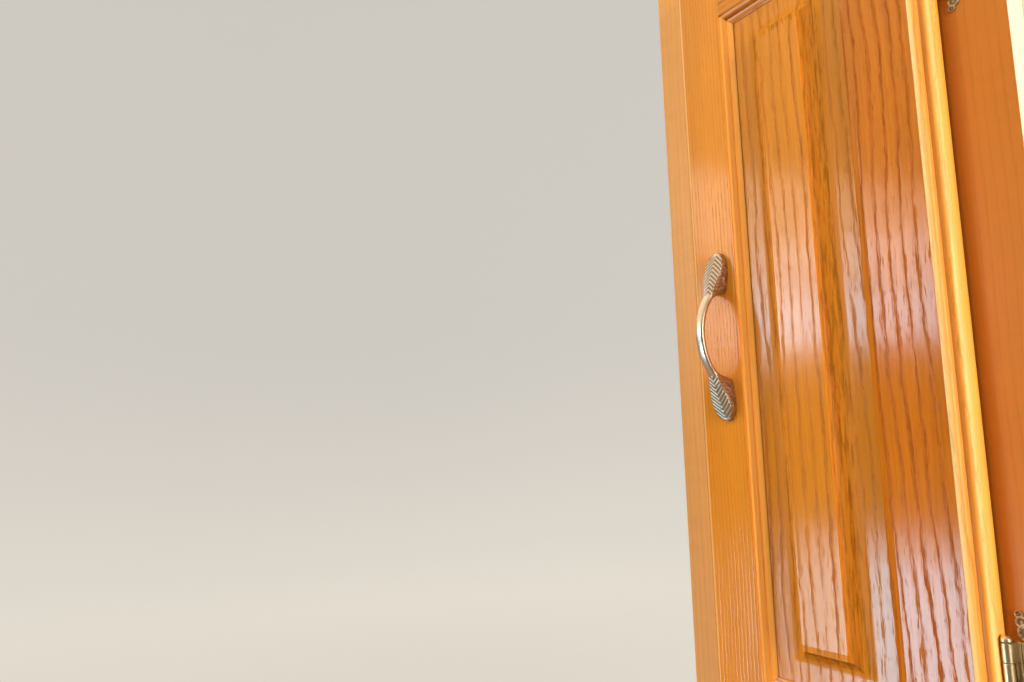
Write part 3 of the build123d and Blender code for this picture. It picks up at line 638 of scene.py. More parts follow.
# ---------------------------------------------------------------- metal finishes
def metal(name, bright, dark, rough=(0.22, 0.52), grain=900.0, relief=0.00004, spots=0.35, brushed=None):
    """Plated metal with patina in its recesses, slight mottling and fine scratches."""
    k = Look(name)
    worn = k.tree.nodes.new("ShaderNodeAttribute")
    worn.attribute_name = "patina"
    pat = worn.outputs["Fac"]
    mottle = k.noise(k.coord(), 420.0, 4.0, 0.6)
    fine = k.noise(k.coord(), grain, 2.0, 0.6)
    age = k.math("MULTIPLY_ADD", k.math("SUBTRACT", mottle, 0.5), spots, pat, clamp=True)
    colour = k.mix(age, bright, dark)
    level = k.math("MULTIPLY_ADD", k.math("SUBTRACT", fine, 0.5), 0.22, 1.0)
    k.set("Base Color", k.scaled(colour, level))
    k.bsdf.inputs["Metallic"].default_value = 1.0
    rough_mix = k.math("MULTIPLY_ADD", age, rough[1] - rough[0], rough[0])
    k.set("Roughness", k.math("MULTIPLY_ADD", k.math("SUBTRACT", fine, 0.5), 0.14, rough_mix, clamp=True))
    height = k.math("MULTIPLY_ADD", mottle, 0.6, k.math("MULTIPLY", fine, 0.4))
    if brushed:
        x, y, z = k.split(k.coord())
        axes = {"X": (30.0, 2500.0, 2500.0), "Z": (2500.0, 2500.0, 30.0)}[brushed]
        lines = k.noise(k.join(k.math("MULTIPLY", x, axes[0]), k.math("MULTIPLY", y, axes[1]), k.math("MULTIPLY", z, axes[2])),
                        1.0, 1.0)
        height = k.math("MULTIPLY_ADD", lines, 0.8, height)
    k.set("Normal", k.bump(height, relief, 0.8))
    return k.mat


PEWTER = metal("handle_pewter", (0.900, 0.765, 0.660), (0.290, 0.165, 0.075), (0.30, 0.54), spots=0.26)
BRASS = metal("hinge_brass", (0.860, 0.750, 0.530), (0.380, 0.255, 0.130), (0.36, 0.58), spots=0.44)
STEEL = metal("zinc_steel", (0.640, 0.640, 0.630), (0.200, 0.190, 0.180), (0.26, 0.50), spots=0.20, brushed="Z")


# ---------------------------------------------------------------- screw heads
def screw_head(piece, x, z, y, out, radius, dome, cut=0.32, turn=0.0):
    """A cross-slotted head on a face at y, its dome towards out (+1 is +Y, -1 is -Y). cut: depth of the cross by radius."""
    rings_n, steps = 11, 36
    rings = []
    for r_i in range(rings_n + 1):
        rho = radius * (r_i / rings_n)
        ring = []
        for i in range(steps):
            a = 2 * math.pi * i / steps
            p, q = max(rho, 0.02 * MM) * math.cos(a), max(rho, 0.02 * MM) * math.sin(a)
            c, s = math.cos(turn), math.sin(turn)
            u, v = abs(p * c + q * s), abs(-p * s + q * c)
            arm, wide = 0.60 * radius, 0.13 * radius
            edge = max(min((arm - u) / (0.14 * radius), (wide * 1.25 - v) / (0.10 * radius)),
                       min((arm - v) / (0.14 * radius), (wide * 1.25 - u) / (0.10 * radius)))
            slot = smooth(edge)
            h = dome * math.sqrt(max(0.0, 1 - (rho / radius) ** 2 * 0.96)) - slot * cut * radius
            ring.append((Vector((x + p, y + out * h, z + q)), 0.15 + 0.85 * slot))
        rings.append(ring)
    rings.append([(Vector((x + 0.98 * radius * math.cos(2 * math.pi * i / steps), y - out * 0.3 * MM,
                           z + 0.98 * radius * math.sin(2 * math.pi * i / steps))), 0.9) for i in range(steps)])
    piece.loft(rings)


# ---------------------------------------------------------------- handles: arched grip between two ribbed leaves
HANDLE_X = -0.076
H_HALF, H_ROOT, H_OUT = 69.0, 31.0, 28.0        # mm: half length, roots of the leaves, grip's front from the door
ROOT_OUT, TIP_OUT = 17.0, 2.6
ARCH_R = (33.0 ** 2 + 11.8 ** 2) / (2 * 11.8)


def handle_out(s):
    """How far the handle's front stands from the door at a height s (mm) from its middle."""
    s = abs(s)
    leaf = ROOT_OUT - (ROOT_OUT - TIP_OUT) * (s - H_ROOT) / (H_HALF - H_ROOT)
    leaf += 0.55 * math.sin(math.pi * min(1.0, max(0.0, (s - H_ROOT) / (H_HALF - H_ROOT))))
    if s >= 40.0:
        return leaf
    arch = H_OUT - (ARCH_R - math.sqrt(ARCH_R ** 2 - s * s))
    blend = smooth((s - 26.0) / 14.0)
    return arch * (1 - blend) + leaf * blend


LEAF_HALF = [(27.0, 3.9), (31.0, 4.1), (35.0, 5.0), (40.0, 6.2), (45.0, 7.4), (50.0, 8.5), (54.0, 9.1), (57.5, 9.3), (61.0, 8.9),
             (64.0, 7.7), (66.5, 5.9), (68.0, 4.1), (68.8, 2.3), (69.0, 0.5)]
FOOT_HALF = [(32.0, 3.6), (34.5, 4.4), (36.0, 6.0), (39.0, 7.0), (44.0, 8.2), (50.0, 9.1), (55.0, 9.4), (60.0, 9.0), (63.0, 8.1),
             (66.0, 6.2), (68.0, 4.2), (68.8, 2.3), (69.0, 0.5)]


def along_line(value, rows):
    """A smooth line through the rows (place, height), without overshoot."""
    if value <= rows[0][0]:
        return rows[0][1]
    if value >= rows[-1][0]:
        return rows[-1][1]
    i = max(j for j in range(len(rows) - 1) if rows[j][0] <= value)

    def slope(j):
        if j <= 0 or j >= len(rows) - 1:
            return 0.0 if j <= 0 else (rows[-1][1] - rows[-2][1]) / (rows[-1][0] - rows[-2][0])
        d0 = (rows[j][1] - rows[j - 1][1]) / (rows[j][0] - rows[j - 1][0])
        d1 = (rows[j + 1][1] - rows[j][1]) / (rows[j + 1][0] - rows[j][0])
        return 0.0 if d0 * d1 <= 0 else 2 * d0 * d1 / (d0 + d1)

    (a, fa), (b, fb) = rows[i], rows[i + 1]
    h = b - a
    t = (value - a) / h
    m0, m1 = slope(i) * h, slope(i + 1) * h
    return ((2 * t ** 3 - 3 * t ** 2 + 1) * fa + (t ** 3 - 2 * t ** 2 + t) * m0
            + (-2 * t ** 3 + 3 * t ** 2) * fb + (t ** 3 - t ** 2) * m1)


def rib_depth(length, x):
    """Depth from 0 to 1 of the herringbone grooves that run back from a leaf's middle."""
    phase = (length - 0.80 * abs(x)) / 3.45
    part = phase - math.floor(phase)
    return (0.5 - 0.5 * math.cos(2 * math.pi * part)) ** 1.25


def make_handle(name, zc, body):
    piece = Piece()
    rows = [69.0 - 14.0 * (1 - math.cos(math.pi / 2 * i / 40)) for i in range(0, 30)]
    s = rows[-1]
    while s > 30.0:
        s -= 0.30
        rows.append(s)
    grip_n = 52
    rows += [rows[-1] * (1 - i / grip_n) for i in range(1, grip_n)]
    heights = rows + [0.0] + [-r for r in reversed(rows)]
    cols, thick, e = 44, 4.5, 0.05
    door_y = Y_DOOR / MM
    rings = []
    for s in heights:
        out = handle_out(s)
        slope = (handle_out(s + e) - handle_out(s - e)) / (2 * e)
        nrm = Vector((0, -1.0, -slope)).normalized()         # out of the face
        far = abs(s)
        w, wf = along_line(far, LEAF_HALF), along_line(far, FOOT_HALF)
        leafy = smooth((far - 31.0) / 4.0)
        footed = smooth((far - 32.6) / 3.4)
        ribbed = smooth((far - 31.5) / 2.5)
        length = H_HALF - far
        bevel = min(1.25 - 0.45 * leafy, w * 0.45)
        centre = Vector((HANDLE_X / MM, door_y - out, zc / MM + s))
        ring = []

        def put(x, h, patina):
            q = centre + nrm * h
            q.x += x
            q.y = min(q.y, door_y)
            ring.append((q * MM, patina))

        def wall(x, h, f, deep, patina):
            """A point f of the way from the rim down to the door or the grip's back."""
            q = centre + nrm * (h - f * (thick + h))
            r = Vector((centre.x, (door_y - out) + f * out, zc / MM + s))
            q = q.lerp(r, footed)
            q.x = centre.x + x
            if deep:
                k = deep * lumps(q.x * 0.62 + 9, q.y * 0.62, q.z * 0.62)
                q.x += k * (1 if x > 0 else -1)
                patina = min(1.0, max(0.0, patina + 0.9 * k))
            q.y = min(q.y, door_y)
            ring.append((q * MM, patina))

        # face, from left to right, crowned a little
        for i in range(cols + 1):
            x = -(w - bevel) + 2 * (w - bevel) * i / cols
            across = abs(x) / max(w, 0.3)
            h = -(0.62 * (1 - leafy) + 0.35 * leafy) * across ** 2
            depth = rib_depth(length, x) * ribbed * smooth((length - 1.2) / 1.6)
            h -= 0.55 * depth
            put(x, h, min(1.0, 0.04 + leafy * (0.10 + 0.78 * depth)))
        edge_h = -(0.62 * (1 - leafy) + 0.35 * leafy)
        cut = rib_depth(length, w) * ribbed * smooth((length - 1.2) / 1.6)
        rim = [(0.30, 0.03, 0.9), (0.62, 0.20, 0.8), (0.88, 0.52, 0.7), (1.0, 1.0, 0.6)]
        walls = [0.14, 0.24, 0.34, 0.44, 0.54, 0.64, 0.74, 0.84, 0.93, 1.0]

        def flank(side):
            pts = []
            for k1, k2, g in rim:
                pts.append(("rim", side * (w - bevel + bevel * k1 - 0.20 * cut * k1), edge_h - bevel * k2 - 0.42 * cut * g,
                            0.06 + 0.10 * leafy + 0.45 * cut * leafy))
            for f in walls:
                waist = math.sin(math.pi * f)
                x_leaf = w + (wf - w) * smooth(f) + (0.55 * waist - 0.9 * (1 - smooth(f / 0.28))) * smooth((out - 3.0) / 5.0) * 0.5
                x_grip = w - 0.9 * max(0.0, f - 0.55) / 0.45
                x = x_grip + (x_leaf - x_grip) * footed
                groove = cut * max(0.0, 1 - f * 1.15) * footed
                rough_f = smooth((f - 0.22) / 0.15) * footed * smooth((far - 35) / 3) * (1 - smooth((far - 57) / 5))
                pts.append(("wall", side * (x - 0.30 * groove), edge_h - bevel, f, 0.42 * rough_f * (1 - smooth((f - 0.9) / 0.1)),
                            0.30 + 0.26 * leafy + 0.20 * groove + 0.12 * rough_f + 0.2 * smooth((f - 0.8) / 0.2)))
            return pts

        right = flank(1)
        for row in right:
            if row[0] == "rim":
                put(row[1], row[2], min(1.0, row[3]))
            else:
                wall(*row[1:])
        low_w = abs(right[-1][1])
        for i in range(1, 6):
            wall(low_w * (1 - 2 * i / 6), 0.0, 1.0, 0.0, 0.8)
        for row in reversed(flank(-1)):
            if row[0] == "rim":
                put(row[1], row[2], min(1.0, row[3]))
            else:
                wall(*row[1:])
        rings.append(ring)
    piece.loft(rings)
    return piece.finish(name, body, "handle_metal", PEWTER, name.replace("_cast", ""), angle=42)


HANDLE_AT = {}
for door in ("upper_door", "lower_door"):
    low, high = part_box(door + "_handle")
    HANDLE_AT[door] = (low.z + high.z) / 2
    make_handle(door + "_handle_cast", HANDLE_AT[door], door)
    heads = Piece()
    low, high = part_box(door + "_handle_screws")
    for end in (-1, 1):
        screw_head(heads, HANDLE_X, HANDLE_AT[door] + end * 0.048, high.y - 0.0016, 1, 0.0040, 0.0015, turn=0.5 + end)
        heads.turned([(0.0039, 0.0, 0.6), (0.00405, 0.0003, 0.3), (0.00405, 0.0009, 0.3), (0.0038, 0.0013, 0.3)],
                     (HANDLE_X, Y_DOOR_BACK, HANDLE_AT[door] + end * 0.048), "Y", 36)
        heads.turned([(0.0020, 0.0, 0.5), (0.0020, 0.0208, 0.5)],
                     (HANDLE_X, Y_DOOR_BACK + 0.0005, HANDLE_AT[door] + end * 0.048), "Y", 20, way=-1)
    heads.finish(door + "_handle_screw_heads", door, "screw_steel", STEEL, door + "_handle_screws")

# ---------------------------------------------------------------- hinges
pin_low, pin_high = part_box("upper_door_hinge_pins")
HINGE_X, HINGE_Y = (pin_low.x + pin_high.x) / 2, (pin_low.y + pin_high.y) / 2
BARREL_R, BARREL_L, KNUCKLES, LEAF_T = 0.0031, 0.056, 5, 0.0012
KNUCKLE_L = BARREL_L / KNUCKLES
PIN_BORE = 0.00168                     # the pin's radius is 1.55 mm


def knuckle_section(side, foot):
    """A curled knuckle with the leaf's web behind it, as a function of an inset."""
    def outline(cut=0.0):
        r = BARREL_R - cut
        web_out, web_in = BARREL_R, BARREL_R - LEAF_T
        top = HINGE_Y + 0.0004
        pts = [(HINGE_X + side * web_out, foot + (top - foot) * smooth(i / 9)) for i in range(10)]
        start, stop = 0.0, -360.0 + math.degrees(math.acos((web_in) / BARREL_R))
        for i in range(1, 41):
            a = math.radians(start + (stop - start) * i / 40)
            pts.append((HINGE_X + side * r * math.cos(a), HINGE_Y + r * math.sin(a)))
        last = pts[-1][1]
        pts += [(HINGE_X + side * web_in, last + (foot - last) * i / 4) for i in range(1, 5)]
        return pts
    return outline


def wing_rows():
    """Section of the frame leaf's wing: x from the barrel's axis and height over the face frame (mm)."""
    return [(0.75, 0.0), (0.75, 1.30), (1.0, 1.45), (4.1, 1.45), (4.45, 1.05), (4.9, 1.00), (5.3, 1.30), (5.6, 1.42), (10.4, 1.42),
            (10.8, 1.30), (11.1, 1.02), (11.5, 1.00), (11.9, 1.18), (12.3, 1.22), (17.4, 1.22), (18.0, 1.10), (18.6, 0.80),
            (19.0, 0.35), (19.1, 0.0)]


LOBES = [(8.2, 33.5, 5.6), (6.2, 39.2, 3.9), (4.6, 43.6, 2.4)]


def frame_leaf(name, body, node):
    low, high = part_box(node)
    zc = (low.z + high.z) / 2
    piece = Piece()
    for k in (0, 2, 4):
        z = zc - BARREL_L / 2 + k * KNUCKLE_L + 0.00015
        piece.collar(knuckle_section(1, Y_FRAME), (HINGE_X, HINGE_Y), PIN_BORE, z, z + KNUCKLE_L - 0.0003, 0.0003, 0.10)
    # wing, with raised lines along it
    rings = []
    for z, k in ((-28.0, 0.55), (-27.7, 0.86), (-27.2, 1.0), (-9.0, 1.0), (9.0, 1.0), (27.2, 1.0), (27.7, 0.86), (28.0, 0.55)):
        ring = []
        for x, h in wing_rows():
            low_spot = 1.0 if h < 1.1 and h > 0.9 else 0.0
            ring.append((Vector((HINGE_X + x * MM, Y_FRAME - h * k * MM, zc + z * MM)), 0.25 + 0.55 * low_spot))
        rings.append(ring)
    piece.loft(rings)
    # scrolled ends, cast with an eye in each lobe
    for end in (-1, 1):
        for i, (away, up, radius) in enumerate(LOBES):
            r = radius * MM
            tall = (1.50 - 0.06 * i) * MM
            profile = [(0.00002, tall * 0.80, 0.35), (r * 0.16, tall * 0.78, 0.35), (r * 0.30, tall * 0.52, 0.85),
                       (r * 0.44, tall * 0.42, 1.00), (r * 0.56, tall * 0.58, 0.75), (r * 0.68, tall * 0.93, 0.15),
                       (r * 0.80, tall * 1.00, 0.05), (r * 0.90, tall * 0.90, 0.20), (r * 0.97, tall * 0.60, 0.50),
                       (r, tall * 0.25, 0.80), (r, 0.0, 0.9)]
            profile = [(a, b, 0.38 + 0.60 * c) for a, b, c in profile]
            piece.turned(profile, (HINGE_X + away * MM, Y_FRAME, zc + end * up * MM), "Y", 72, wobble=0.22 * MM, way=-1, flutes=9 - 2 * i)
        # small bead where the scroll leaves the wing
        piece.turned([(0.00002, 1.42 * MM, 0.1), (1.2 * MM, 1.30 * MM, 0.1), (1.9 * MM, 0.9 * MM, 0.4), (2.2 * MM, 0.3 * MM, 0.8),
                      (2.2 * MM, 0.0, 0.9)],
                     (HINGE_X + 14.6 * MM, Y_FRAME, zc + end * 29.2 * MM), "Y", 28, way=-1)
    for end in (-1, 1):
        screw_head(piece, HINGE_X + 14.8 * MM, zc + end * 17.5 * MM, Y_FRAME - 1.16 * MM, -1, 2.6 * MM, 0.33 * MM, turn=0.4 + end)
    screw_head(piece, HINGE_X + 8.0 * MM, zc, Y_FRAME - 1.36 * MM, -1, 2.0 * MM, 0.14 * MM, turn=0.9)
    return piece.finish(name, body, "hinge_metal", BRASS, node, angle=40)


def door_leaf(name, body, node):
    low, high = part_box(node)
    zc = (low.z + high.z) / 2
    piece = Piece()
    for k in (1, 3):
        z = zc - BARREL_L / 2 + k * KNUCKLE_L + 0.00015
        piece.collar(knuckle_section(-1, Y_DOOR_BACK + LEAF_T), (HINGE_X, HINGE_Y), PIN_BORE, z, z + KNUCKLE_L - 0.0003, 0.0003,
                     0.10)
    right = HINGE_X - BARREL_R + LEAF_T
    outline = rounded(low.x, right, zc - BARREL_L / 2, zc + BARREL_L / 2, 0.0022)
    rings = []
    top = Y_DOOR_BACK + LEAF_T - 0.00034
    for y, cut, pat in ((Y_DOOR_BACK, 0.0, 0.7), (top - 0.00025, 0.0, 0.3), (top, 0.00025, 0.2)):
        rings.append([(Vector((a, y, b)), pat) for a, b in outline(cut)])
    piece.loft(rings)
    for dx, dz in ((7.5, 19.5), (7.5, -19.5), (16.5, 0.0)):
        screw_head(piece, low.x + dx * MM, zc + dz * MM, top, 1, 3.0 * MM, 0.34 * MM, 0.10, turn=dz)
    return piece.finish(name, body, "hinge_metal", BRASS, node, angle=40)


def pins(name, body, node, centres):
    piece = Piece()
    reach = BARREL_L / 2 + 0.0001
    for zc in centres:
        piece.turned([(0.00155, -reach, 0.5), (0.00155, reach, 0.5)], (HINGE_X, HINGE_Y, zc), "Z", 24)
        for way in (-1, 1):
            rows = [(0.0018, 0.0, 0.9), (0.0027, 0.00005, 0.9), (0.00300, 0.0003, 0.5), (0.0031, 0.0007, 0.2), (0.0031, 0.0012, 0.1),
                    (0.00300, 0.0018, 0.08), (0.00278, 0.0024, 0.06), (0.00242, 0.0029, 0.05), (0.00192, 0.0034, 0.05),
                    (0.00128, 0.0038, 0.05), (0.0006, 0.00398, 0.05), (0.00002, 0.0040, 0.05)]
            piece.turned(rows, (HINGE_X, HINGE_Y, zc + way * reach), "Z", 36, way=way)
    return piece.finish(name, body, "hinge_metal", BRASS, node, angle=50)


for door, ends in (("upper_door", ("bottom", "top")), ("lower_door", ("bottom", "middle", "top"))):
    centres = []
    for end in ends:
        leaf = f"{door}_{end}_hinge_frame_leaf"
        low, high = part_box(leaf)
        centres.append((low.z + high.z) / 2)
        frame_leaf(leaf + "_cast", "cabinet", leaf)
        door_leaf(f"{door}_{end}_hinge_door_leaf_plate", door, f"{door}_{end}_hinge_door_leaf")
    pins(door + "_hinge_pins_turned", "cabinet", door + "_hinge_pins", centres)


# ---------------------------------------------------------------- small fittings behind the doors
def plastic(name, colour, rough=0.42):
    k = Look(name)
    n = k.noise(k.coord(), 900.0, 3.0, 0.6)
    soft = k.noise(k.coord(), 60.0, 2.0)
    level = k.math("MULTIPLY_ADD", k.math("SUBTRACT", soft, 0.5), 0.12, 1.0)
    k.set("Base Color", k.scaled(k.mix(n, colour, tuple(c * 0.93 for c in colour)), level))
    k.set("Roughness", k.math("MULTIPLY_ADD", n, 0.16, rough - 0.08))
    k.set("Normal", k.bump(n, 0.00003, 0.6))
    return k.mat


OFF_WHITE = plastic("moulded_off_white", (0.66, 0.60, 0.50))
CLEAR_PAD = plastic("soft_pad", (0.70, 0.69, 0.66), 0.30)


def make_catch(name, body, node):
    """A magnetic catch: moulded case with a lip all round, and two steel poles across its face."""
    low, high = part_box(node)
    x0, x1, y0, y1, z0, z1 = low.x, high.x, low.y, high.y, low.z, high.z
    zc = (z0 + z1) / 2
    piece = Piece()
    # case, drawn from its mounting side, with drafted walls
    rings = []
    for y, cut in ((y1, 0.0006), (y1 - 0.0006, 0.0), (y0 + 0.0042, 0.0), (y0 + 0.0038, 0.0005), (y0 + 0.0014, 0.0007),
                   (y0 + 0.0009, 0.0012), (y0 + 0.0009, 0.0024)):
        rings.append([(Vector((a, y, b)), 0.2) for a, b in rounded(x0, x1, zc - 0.0118, zc + 0.0118, 0.0015)(cut)])
    piece.loft(rings)
    # ears, one at each end
    for end in (-1, 1):
        za, zb = sorted((zc + end * 0.0110, zc + end * 0.0180))
        rings = []
        for x, cut in ((x0, 0.0), (x0 + 0.0018, 0.0), (x0 + 0.0022, 0.0004)):
            rings.append([(Vector((x, a, b)), 0.2) for a, b in rounded(y1 - 0.0150, y1 - 0.0030, za, zb, 0.0016)(cut)])
        piece.loft(rings)
    case = piece.finish(name, body, "catch_plastic", OFF_WHITE, node, angle=35)
    steel = Piece()
    for dx in (0.0034, 0.0080):
        rings = []
        for y, cut in ((y0 + 0.0030, 0.0), (y0 + 0.0003, 0.0), (y0, 0.0002)):
            rings.append([(Vector((a, y, b)), 0.2) for a, b in rounded(x0 + dx - 0.0008, x0 + dx + 0.0008, zc - 0.0086, zc + 0.0086,
                                                                      0.0003, 2)(cut)])
        steel.loft(rings)
    # a screw through each ear, its head facing into the opening
    for end in (-1, 1):
        rows = []
        for h, r, pat in ((0.0, 0.0001, 0.9), (0.0, 0.0010, 0.9), (0.0006, 0.0014, 0.3), (0.0012, 0.0024, 0.2), (0.0004, 0.0029, 0.4)):
            rows.append([(Vector((x0 + 0.0022 + h, y1 - 0.0090 + r * math.cos(2 * math.pi * i / 28),
                                  zc + end * 0.0146 + r * math.sin(2 * math.pi * i / 28))), pat) for i in range(28)])
        rows.append([(Vector((x0 + 0.0019, y1 - 0.0090 + 0.0029 * math.cos(2 * math.pi * i / 28),
                              zc + end * 0.0146 + 0.0029 * math.sin(2 * math.pi * i / 28))), 0.8) for i in range(28)])
        steel.loft(rows)
    poles = steel.finish(name + "_steel", body, "strike_steel", STEEL, angle=35)
    return case, poles


def make_strike(name, body, node):
    low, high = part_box(node)
    piece = Piece()
    rings = []
    outline = rounded(low.x, high.x, low.z, high.z, 0.0024)
    top = high.y - 0.00032
    for y, cut, pat in ((low.y, 0.0, 0.6), (top - 0.0003, 0.0, 0.2), (top, 0.0003, 0.1)):
        rings.append([(Vector((a, y, b)), pat) for a, b in outline(cut)])
    piece.loft(rings)
    xc = (low.x + high.x) / 2
    for z in (low.z + 0.0048, high.z - 0.0048):
        screw_head(piece, xc, z, top, 1, 0.0027, 0.00032, 0.10, turn=z * 40)
    return piece.finish(name, body, "strike_steel", STEEL, node, angle=35)


def make_bumpers(name, body, node):
    low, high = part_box(node)
    piece = Piece()
    x = (low.x + high.x) / 2
    r, tall = (high.x - low.x) / 2, high.y - low.y
    for z in (low.z + r, high.z - r):
        rows = [(r * 0.97, 0.0, 0), (r, tall * 0.18, 0), (r * 0.97, tall * 0.42, 0), (r * 0.86, tall * 0.70, 0),
                (r * 0.66, tall * 0.90, 0), (r * 0.36, tall * 0.98, 0), (0.00002, tall, 0)]
        piece.turned(rows, (x, low.y, z), "Y", 40)
    return piece.finish(name, body, "bumper_rubber", CLEAR_PAD, node, angle=60)


for door in ("upper_door", "lower_door"):
    make_catch(door + "_catch_case", "cabinet", door + "_catch")
    make_strike(door + "_strike_plate_steel", door, door + "_strike_plate")
    make_bumpers(door + "_bumper_pads", door, door + "_bumpers")


# ================================================================ boards of the case
def ply(name, thick, low, high, along, face_a, face_b, figure=1.0, plies=7, rough=0.42, seed=0.0, sheen=0.35):
    """Plywood: printed or sliced face, and its layers on the sawn edges. thick and along are axes."""
    k = Look(name)
    xyz = dict(zip("XYZ", k.split(k.coord())))
    nrm = dict(zip("XYZ", k.split(k.coord("Normal"))))
    across = [a for a in "XYZ" if a not in (thick, along)][0]
    w, u, t = xyz[along], xyz[across], xyz[thick]
    slow = k.noise(k.join(k.math("MULTIPLY", u, 9.0), seed, k.math("MULTIPLY", w, 1.3)), 1.0, 2.0)
    place = k.math("MULTIPLY_ADD", slow, 0.10, u)
    arch = k.noise(k.join(k.math("MULTIPLY", place, 62.0), k.math("ADD", k.math("MULTIPLY", w, 1.1), seed), 0.0), 1.0, 2.0, 0.6)
    lines = k.noise(k.join(k.math("MULTIPLY", place, 420.0), k.math("ADD", k.math("MULTIPLY", w, 7.0), seed), 0.0), 1.0, 2.0, 0.6)
    fleck = k.noise(k.join(k.math("MULTIPLY", u, 2300.0), k.math("MULTIPLY", w, 110.0), k.math("MULTIPLY", t, 300.0)), 1.0, 1.0)
    tone = k.math("MULTIPLY_ADD", k.step(arch, 0.42, 0.66), 0.65 * figure, k.math("MULTIPLY", lines, 0.35 * figure), clamp=True)
    face = k.mix(tone, face_a, face_b)
    pore = k.step(fleck, 0.66, 0.74)
    face = k.mix(k.math("MULTIPLY", pore, 0.30 * figure, clamp=True), face, tuple(c * 0.55 for c in face_b))
    # sawn edge: layers by depth, every second one end grain
    layer = k.math("MULTIPLY", k.span(t, low, high), float(plies))
    odd = k.math("FRACT", k.math("MULTIPLY", k.math("FLOOR", layer), 0.5))
    odd = k.step(odd, 0.2, 0.3)
    glue = k.math("SUBTRACT", 1.0, k.step(k.math("ABSOLUTE", k.math("SUBTRACT", k.math("FRACT", layer), 0.5)), 0.42, 0.48, 0.0, 0.6))
    saw = k.noise(k.join(k.math("MULTIPLY", xyz["X"], 700.0), k.math("MULTIPLY", xyz["Y"], 700.0), k.math("MULTIPLY", xyz["Z"], 90.0)),
                  1.0, 2.0, 0.6)
    edge = k.mix(odd, (0.62, 0.44, 0.25), (0.40, 0.25, 0.13))
    edge = k.scaled(edge, k.math("MULTIPLY", glue, k.math("MULTIPLY_ADD", saw, 0.5, 0.75)))
    flat = k.step(k.math("ABSOLUTE", nrm[thick]), 0.6, 0.9)
    k.set("Base Color", k.mix(flat, edge, face))
    k.set("Roughness", k.math("MULTIPLY_ADD", flat, rough - 0.72, 0.72))
    k.set("Specular IOR Level", k.math("MULTIPLY_ADD", flat, sheen - 0.15, 0.15))
    k.set("Normal", k.bump(k.math("MULTIPLY_ADD", k.math("SUBTRACT", 1.0, flat), k.math("MULTIPLY", saw, 1.6),
                                  k.math("MULTIPLY_ADD", pore, -0.5, k.math("MULTIPLY", lines, 0.4))), 0.00006, 0.7))
    return k.mat


def pine(name, along, seed=0.0):
    """Bare sawn pine: pale early wood and amber late wood."""
    k = Look(name)
    xyz = dict(zip("XYZ", k.split(k.coord())))
    nrm = dict(zip("XYZ", k.split(k.coord("Normal"))))
    a, b = [c for c in "XYZ" if c != along]
    w = xyz[along]
    wave = k.noise(k.join(k.math("MULTIPLY", xyz[a], 20.0), k.math("MULTIPLY", xyz[b], 20.0), k.math("MULTIPLY", w, 2.2)), 1.0, 2.0)
    du = k.math("ADD", xyz[a], 0.031 + seed * 0.01)
    dv = k.math("ADD", xyz[b], 0.057)
    r = k.math("SQRT", k.math("ADD", k.math("MULTIPLY", du, du), k.math("MULTIPLY", dv, dv)))
    r = k.math("MULTIPLY_ADD", wave, 0.010, r)
    part = k.math("FRACT", k.math("DIVIDE", r, 0.0036))
    late = k.math("MULTIPLY", k.step(part, 0.45, 0.95), k.math("SUBTRACT", 1.0, k.step(part, 0.95, 1.0)))
    fibre = k.noise(k.join(k.math("MULTIPLY", xyz[a], 900.0), k.math("MULTIPLY", xyz[b], 900.0), k.math("MULTIPLY", w, 30.0)), 1.0, 2.0)
    colour = k.mix(k.math("MULTIPLY", late, 0.75), (0.72, 0.52, 0.29), (0.50, 0.28, 0.11))
    level = k.math("MULTIPLY_ADD", k.math("SUBTRACT", fibre, 0.5), 0.30, 1.0)
    end = k.step(k.math("ABSOLUTE", nrm[along]), 0.6, 0.95)
    level = k.math("MULTIPLY", level, k.math("MULTIPLY_ADD", end, -0.30, 1.0))
    k.set("Base Color", k.scaled(colour, level))
    k.set("Roughness", k.math("MULTIPLY_ADD", fibre, 0.20, 0.50))
    k.set("Normal", k.bump(k.math("MULTIPLY_ADD", late, 0.5, fibre), 0.00010, 0.8))
    return k.mat


CREAM_A, CREAM_B = (0.690, 0.590, 0.440), (0.580, 0.475, 0.330)
BIRCH_A, BIRCH_B = (0.740, 0.560, 0.340), (0.610, 0.420, 0.220)
# columns: node, axis through the board, axis of the grain, face colours, figure, roughness, seed
CASE = [
    ("left_side_panel", "X", "Z", CREAM_A, CREAM_B, 0.75, 0.36, 1.0),
    ("right_side_panel", "X", "Z", CREAM_A, CREAM_B, 0.75, 0.36, 4.3),
    ("back_panel", "Y", "Z", BIRCH_A, BIRCH_B, 1.0, 0.50, 7.7),
    ("top_panel", "Z", "X", BIRCH_A, BIRCH_B, 1.0, 0.46, 9.1),
    ("floor_deck", "Z", "X", BIRCH_A, BIRCH_B, 1.0, 0.46, 12.9),
    ("middle_deck", "Z", "X", BIRCH_A, BIRCH_B, 1.0, 0.46, 15.2),
    ("upper_compartment_high_shelf", "Z", "X", BIRCH_A, BIRCH_B, 1.0, 0.46, 18.4),
    ("upper_compartment_low_shelf", "Z", "X", BIRCH_A, BIRCH_B, 1.0, 0.46, 21.6),
    ("lower_compartment_high_shelf", "Z", "X", BIRCH_A, BIRCH_B, 1.0, 0.46, 24.8),
    ("lower_compartment_low_shelf", "Z", "X", BIRCH_A, BIRCH_B, 1.0, 0.46, 27.5),
]
for node, thick, along, face_a, face_b, figure, rough, seed in CASE:
    low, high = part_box(node)
    axis = "XYZ".index(thick)
    dress(node, ply("ply_" + node, thick, low[axis], high[axis], along, face_a, face_b, figure, 5 if node == "back_panel" else 7,
                    rough, seed))
